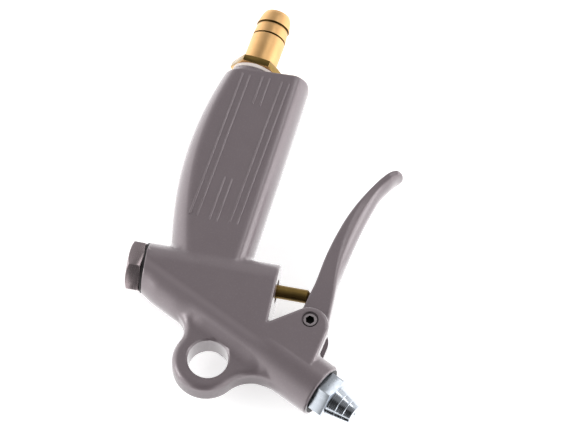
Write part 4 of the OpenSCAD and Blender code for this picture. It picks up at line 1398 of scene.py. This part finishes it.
class DUSTER_OT_nozzle(bpy.types.Operator):
    """Turn the tapered nozzle and its sealing ring"""

    bl_idname = "duster.nozzle"
    bl_label = "Nozzle"

    def execute(self, context):
        s = settings()
        f, barrel = s.fittings, BarrelLine(s.casting)
        base, ahead = barrel.end, barrel.ahead
        hex_foot = f.nozzle_seal_t - f.recess_depth
        piece = hexagon_bar(
            "nozzle", barrel.point(hex_foot, 0), ahead, f.nozzle_af, f.nozzle_hex - hex_foot,
            f.nozzle_turn, f.bevel, f.nozzle_cut
        )
        foot = f.nozzle_hex
        middle = foot + f.cone_len / 2
        tip = foot + f.cone_len
        slope = (f.cone_foot_r - f.cone_tip_r) / f.cone_len
        ring, flare = f.cone_ring, f.jet_flare
        rings = []
        for share in RING_SHARES:
            h = foot + share * f.cone_len
            r = f.cone_foot_r - slope * share * f.cone_len
            rings += [(r, h), (r - ring, h + ring), (r - slope * 2 * ring, h + 2 * ring)]
        cone = turned("cone", base, ahead, eased([
            (0, -f.nozzle_stem), (f.nozzle_stem_r, -f.nozzle_stem), (f.nozzle_stem_r, hex_foot),
            (f.nozzle_stem_r, foot - f.bevel), (f.cone_foot_r, foot), *rings, (f.cone_tip_r, tip),
            (f.jet_r + flare, tip), (f.jet_r, tip - flare), (f.jet_r, middle), (0, middle)
        ], f.cone_ease), f.facets)
        combine(piece, cone, "UNION")
        mouth = -f.nozzle_stem - MM
        bore = turned("bore", base, ahead, [
            (0, mouth), (f.passage_r, mouth), (f.passage_r, foot), (f.jet_r, middle),
            (f.jet_r, middle + MM), (0, middle + MM)
        ], f.facets)
        combine(piece, bore, "DIFFERENCE")

        def in_jet(face):
            off = face.center - base
            return (off - off.dot(ahead) * ahead).length < 1.02 * f.jet_r

        zinc = zinc_plated_steel(base, ahead)
        finish_piece(piece, "tapered_nozzle", "housing", zinc, ["nozzle"], 25)
        finish_faces(piece, drawn_zinc(), on_flats(ahead))
        # Painted shade: the jet bore's walls are coloured nearly black, for the shade inside the hole
        finish_faces(piece, blackened_steel_and_bore_shade(), in_jet)
        seal = washer(
            "seal", barrel.point(-f.recess_depth, 0), ahead, f.nozzle_stem_r + PLAY,
            f.recess_r - PLAY, f.nozzle_seal_t, f.bevel, f.facets
        )
        finish_piece(seal, "nozzle_ring", "housing", nitrile_rubber(), ["nozzle_seal"])
        return {"FINISHED"}


class DUSTER_OT_pin_and_screw(bpy.types.Operator):
    """Turn the push pin and the pivot screw with its hexagon socket"""

    bl_idname = "duster.pin_and_screw"
    bl_label = "Push pin and pivot screw"

    def execute(self, context):
        f, finish = settings().fittings, settings().finishes
        pin = turned("pin", VALVE, AHEAD, eased([
            (0, PIN_REAR), (f.stem_r, PIN_REAR), (f.stem_r, SEAT_FRONT + f.stem_r),
            (PIN_R, SEAT_FRONT + f.stem_r + PIN_R), (PIN_R, PIN_TIP - f.tip_chamfer),
            (PIN_R - f.tip_chamfer, PIN_TIP), (0, PIN_TIP)
        ], f.bevel), f.facets)
        shades = (finish.brass_pin_and_flat_shade, finish.brass_pin_and_painted_shade)
        brass = turned_brass("turned_brass_pin", VALVE, AHEAD, *shades)
        finish_piece(pin, "brass_push_pin", "valve_stem", brass, ["push_pin"])
        screw = turned("screw", PIVOT, UP, eased([
            (0, -SCREW_END), (SCREW_R, -SCREW_END), (SCREW_R, SCREW_END), (0, SCREW_END)
        ], 2 * f.bevel), f.facets)
        floor = PIVOT + UP * (SCREW_END - f.socket_depth)
        socket_r = f.socket_af / 2 / cos(pi / 6)
        combine(screw, rod(floor, UP, socket_r, f.socket_depth + MM, 6), "DIFFERENCE")
        black = blackened_steel_and_bore_shade()
        finish_piece(screw, "socket_screw", "housing", black, ["pivot_screw"])

        def on_end(face):
            return abs(face.normal.z) > 0.5 and abs(face.center.z) > SCREW_END - MM

        finish_faces(screw, ground_steel(), on_end)
        return {"FINISHED"}


class DUSTER_OT_spring(bpy.types.Operator):
    """Wind the valve's spring, which the poppet presses shorter"""

    bl_idname = "duster.spring"
    bl_label = "Valve spring"

    def execute(self, context):
        f = settings().fittings
        rear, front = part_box("valve_spring")
        length = front.x - rear.x
        span = length - 2 * f.wire_r
        closed = f.closed_pitch * f.wire_r
        turns = (0, 1, f.spring_turns - 1, f.spring_turns)
        sides, rings = f.wire_facets, f.turn_facets * f.spring_turns
        points, faces = [], []
        for i in range(rings + 1):
            turn = f.spring_turns * i / rings
            middle = rear.x + f.wire_r + np.interp(turn, turns, (0, closed, span - closed, span))
            for k in range(sides):
                a = 2 * pi * k / sides
                r = front.z - f.wire_r + f.wire_r * cos(a)
                points.append((
                    middle + f.wire_r * sin(a), VALVE_Y + r * cos(2 * pi * turn),
                    r * sin(2 * pi * turn)
                ))
        for i in range(0, rings * sides, sides):
            for k in range(sides):
                after = (k + 1) % sides
                faces.append((i + k, i + sides + k, i + sides + after, i + after))
        faces.append(range(sides))
        faces.append([rings * sides + k for k in reversed(range(sides))])
        piece = new_piece("spring", points, faces)
        wire = drawn_steel()
        finish_piece(piece, "coil_spring", "housing", wire, ["valve_spring"])
        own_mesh(piece)
        return {"FINISHED"}


class DUSTER_OT_inner_parts(bpy.types.Operator):
    """Finish the pieces that are carried over from the frame"""

    bl_idname = "duster.inner_parts"
    bl_label = "Inner parts"

    def execute(self, context):
        finish = settings().finishes
        shades = (finish.brass, finish.brass_dark)
        brass = turned_brass("turned_brass_inner", VALVE, AHEAD, *shades)
        finishes = {
            nitrile_rubber(): ("plug_seal", "poppet_seal", "pin_oring"),
            brass: ("valve_poppet", "poppet_nut", "valve_seat", "pin_guide", "pivot_bush"),
        }
        for material, nodes in finishes.items():
            for node in nodes:
                for slot in frame["nodes"][node].material_slots:
                    slot.material = material
        return {"FINISHED"}


class DUSTER_OT_stage(bpy.types.Operator):
    """Set the floor, the soft lamps, the white background and the camera"""

    bl_idname = "duster.stage"
    bl_label = "Stage"

    def execute(self, context):
        stage = settings().stage
        self.lay_floor(stage)
        self.hang_lamps()
        self.surround(stage)
        self.place_camera(stage)
        context.scene.view_settings.view_transform = "Standard"
        return {"FINISHED"}

    def lay_floor(self, stage):
        """A pale matt sweep that keeps the object's shadow, with some places dark where a surface
        mirrors them."""
        signs = ((-1, -1), (1, -1), (1, 1), (-1, 1))
        corners = [(FLOOR_HALF * x, FLOOR_HALF * y, FLOOR_Z) for x, y in signs]
        floor = new_piece("floor", corners, [[0, 1, 2, 3]])
        material, tree, spot = start_material("pale_sweep")
        path = add_node(tree, "ShaderNodeLightPath").outputs
        mirrored = sum_up(tree, "MULTIPLY", path["Is Glossy Ray"], stage.floor_mirrored)
        lift = sum_up(tree, "MULTIPLY_ADD", path["Is Camera Ray"], stage.floor_lift, mirrored)
        matt = add_node(tree, "ShaderNodeBsdfDiffuse", {"Color": (*stage.floor, 1)})
        glow = add_node(tree, "ShaderNodeEmission", {"Strength": lift})
        pale = add_node(tree, "ShaderNodeAddShader", {0: matt.outputs[0], 1: glow.outputs[0]})
        dark = add_node(tree, "ShaderNodeBsdfDiffuse", {"Color": (*stage.floor_dark, 1)})
        unlit = sum_up(tree, "MULTIPLY", path["Is Glossy Ray"], self.find_dark(tree, spot))
        end_material(tree, add_node(tree, "ShaderNodeMixShader", {
            0: unlit, 1: pale.outputs[0], 2: dark.outputs[0]
        }))
        floor.data.materials.append(material)

    def find_dark(self, tree, spot):
        """Where the mirrored floor is dark: before the open side of the tent, and in the shaded
        places round the ring and below the nozzle."""
        place = add_node(tree, "ShaderNodeSeparateXYZ", {"Vector": spot}).outputs
        aside, ahead = (sum_up(tree, "ABSOLUTE", place[axis]) for axis in ("X", "Y"))
        slant = sum_up(tree, "DIVIDE", aside, ahead)
        before = sum_up(
            tree, "MULTIPLY", fade(tree, place["Y"], *FRONT_DARK), fade(tree, slant, *FRONT_SLANT)
        )
        from_eye = on_vectors(tree, "DISTANCE", spot, (0, 0, FLOOR_Z))
        from_nozzle = on_vectors(tree, "DISTANCE", spot, (*NOZZLE_SPOT, FLOOR_Z))
        beside = sum_up(
            tree, "MULTIPLY", fade(tree, from_eye, *RING_INNER),
            fade(tree, from_eye, *RING_OUTER, 0, RING_SHADE)
        )
        near = sum_up(tree, "MAXIMUM", beside, fade(tree, from_nozzle, *NOZZLE_DARK))
        return sum_up(tree, "MAXIMUM", before, near)

    def hang_lamps(self):
        """Soft boxes: a long one high on the right, and two wide ones low at the sides."""
        for name, (way, wide, high, power) in LAMPS.items():
            data = bpy.data.lights.new(name, "AREA")
            data.shape = "RECTANGLE"
            data.size = wide
            data.size_y = high
            data.energy = power
            lamp = bpy.data.objects.new(name, data)
            bpy.context.scene.collection.objects.link(lamp)
            way = Vector(way).normalized()
            lamp.location = Vector(LAMPS_AIM) + way * LAMPS_AWAY
            lamp.rotation_euler = way.to_track_quat("Z", "Y").to_euler()

    def surround(self, stage):
        """A light tent: bright low down, dark overhead, dimmer at the back, open at the front where
        the photographer stands. The camera sees it white."""
        world = bpy.data.worlds.new("light_tent")
        bpy.context.scene.world = world
        world.use_nodes = True
        tree = world.node_tree
        tree.nodes.clear()
        way = add_node(tree, "ShaderNodeTexCoord").outputs["Generated"]
        part = add_node(tree, "ShaderNodeSeparateXYZ", {"Vector": way}).outputs
        level = fade(tree, part["Z"], *TENT_TOP, stage.overhead, stage.horizon)
        rear = fade(tree, part["Y"], *TENT_REAR, stage.rear_share)
        wall = fade(tree, sum_up(tree, "ABSOLUTE", part["X"]), *TENT_SIDES, stage.gap_share)
        behind = fade(tree, part["Y"], *TENT_FRONT, stage.gap_share)
        closed = sum_up(tree, "MAXIMUM", wall, behind)
        tent = sum_up(tree, "MULTIPLY", sum_up(tree, "MULTIPLY", level, rear), closed)
        lit, white = (
            add_node(tree, "ShaderNodeBackground", {"Color": (1, 1, 1, 1), "Strength": strength})
            for strength in (tent, 1.0)
        )
        path = add_node(tree, "ShaderNodeLightPath")
        mix = add_node(tree, "ShaderNodeMixShader", {
            0: path.outputs["Is Camera Ray"], 1: lit.outputs[0], 2: white.outputs[0]
        })
        add_node(tree, "ShaderNodeOutputWorld", {"Surface": mix.outputs[0]})

    def place_camera(self, stage):
        data = bpy.data.cameras.new("camera")
        data.lens = stage.camera_lens
        data.sensor_width = 36
        data.sensor_fit = "HORIZONTAL"
        data.clip_end = 20
        data.dof.use_dof = False
        camera = bpy.data.objects.new("camera", data)
        bpy.context.scene.collection.objects.link(camera)
        turn = Matrix.Rotation(stage.camera_azimuth, 4, "Z")
        tilt = Matrix.Rotation(pi / 2 - stage.camera_elevation, 4, "X")
        camera.matrix_world = Matrix.Translation(stage.camera_place) @ turn @ tilt
        bpy.context.scene.camera = camera


class DUSTER_PT_panel(bpy.types.Panel):
    """Sizes, colours and steps of the air duster"""

    bl_idname = "DUSTER_PT_panel"
    bl_label = "Air duster"
    bl_space_type = "VIEW_3D"
    bl_region_type = "UI"
    bl_category = "Air duster"

    def draw(self, context):
        for operator in OPERATORS:
            self.layout.operator(operator.bl_idname)
        for name, group in SETTINGS.items():
            box = self.layout.box()
            box.label(text=name.capitalize())
            for field in group.__annotations__:
                box.prop(getattr(settings(), name), field)


OPERATORS = (
    DUSTER_OT_stage, DUSTER_OT_casting, DUSTER_OT_lever, DUSTER_OT_plug, DUSTER_OT_hose_tail,
    DUSTER_OT_nozzle, DUSTER_OT_pin_and_screw, DUSTER_OT_spring, DUSTER_OT_inner_parts,
)
CLASSES = (*SETTINGS.values(), DusterSettings, *OPERATORS, DUSTER_PT_panel)


def register():
    for cls in CLASSES:
        bpy.utils.register_class(cls)
    bpy.types.Scene.air_duster = bpy.props.PointerProperty(type=DusterSettings)


def unregister():
    del bpy.types.Scene.air_duster
    for cls in reversed(CLASSES):
        bpy.utils.unregister_class(cls)


def main():
    register()
    for operator in OPERATORS:
        getattr(bpy.ops.duster, operator.bl_idname.split(".")[1])()


if __name__ == "__main__":
    main()
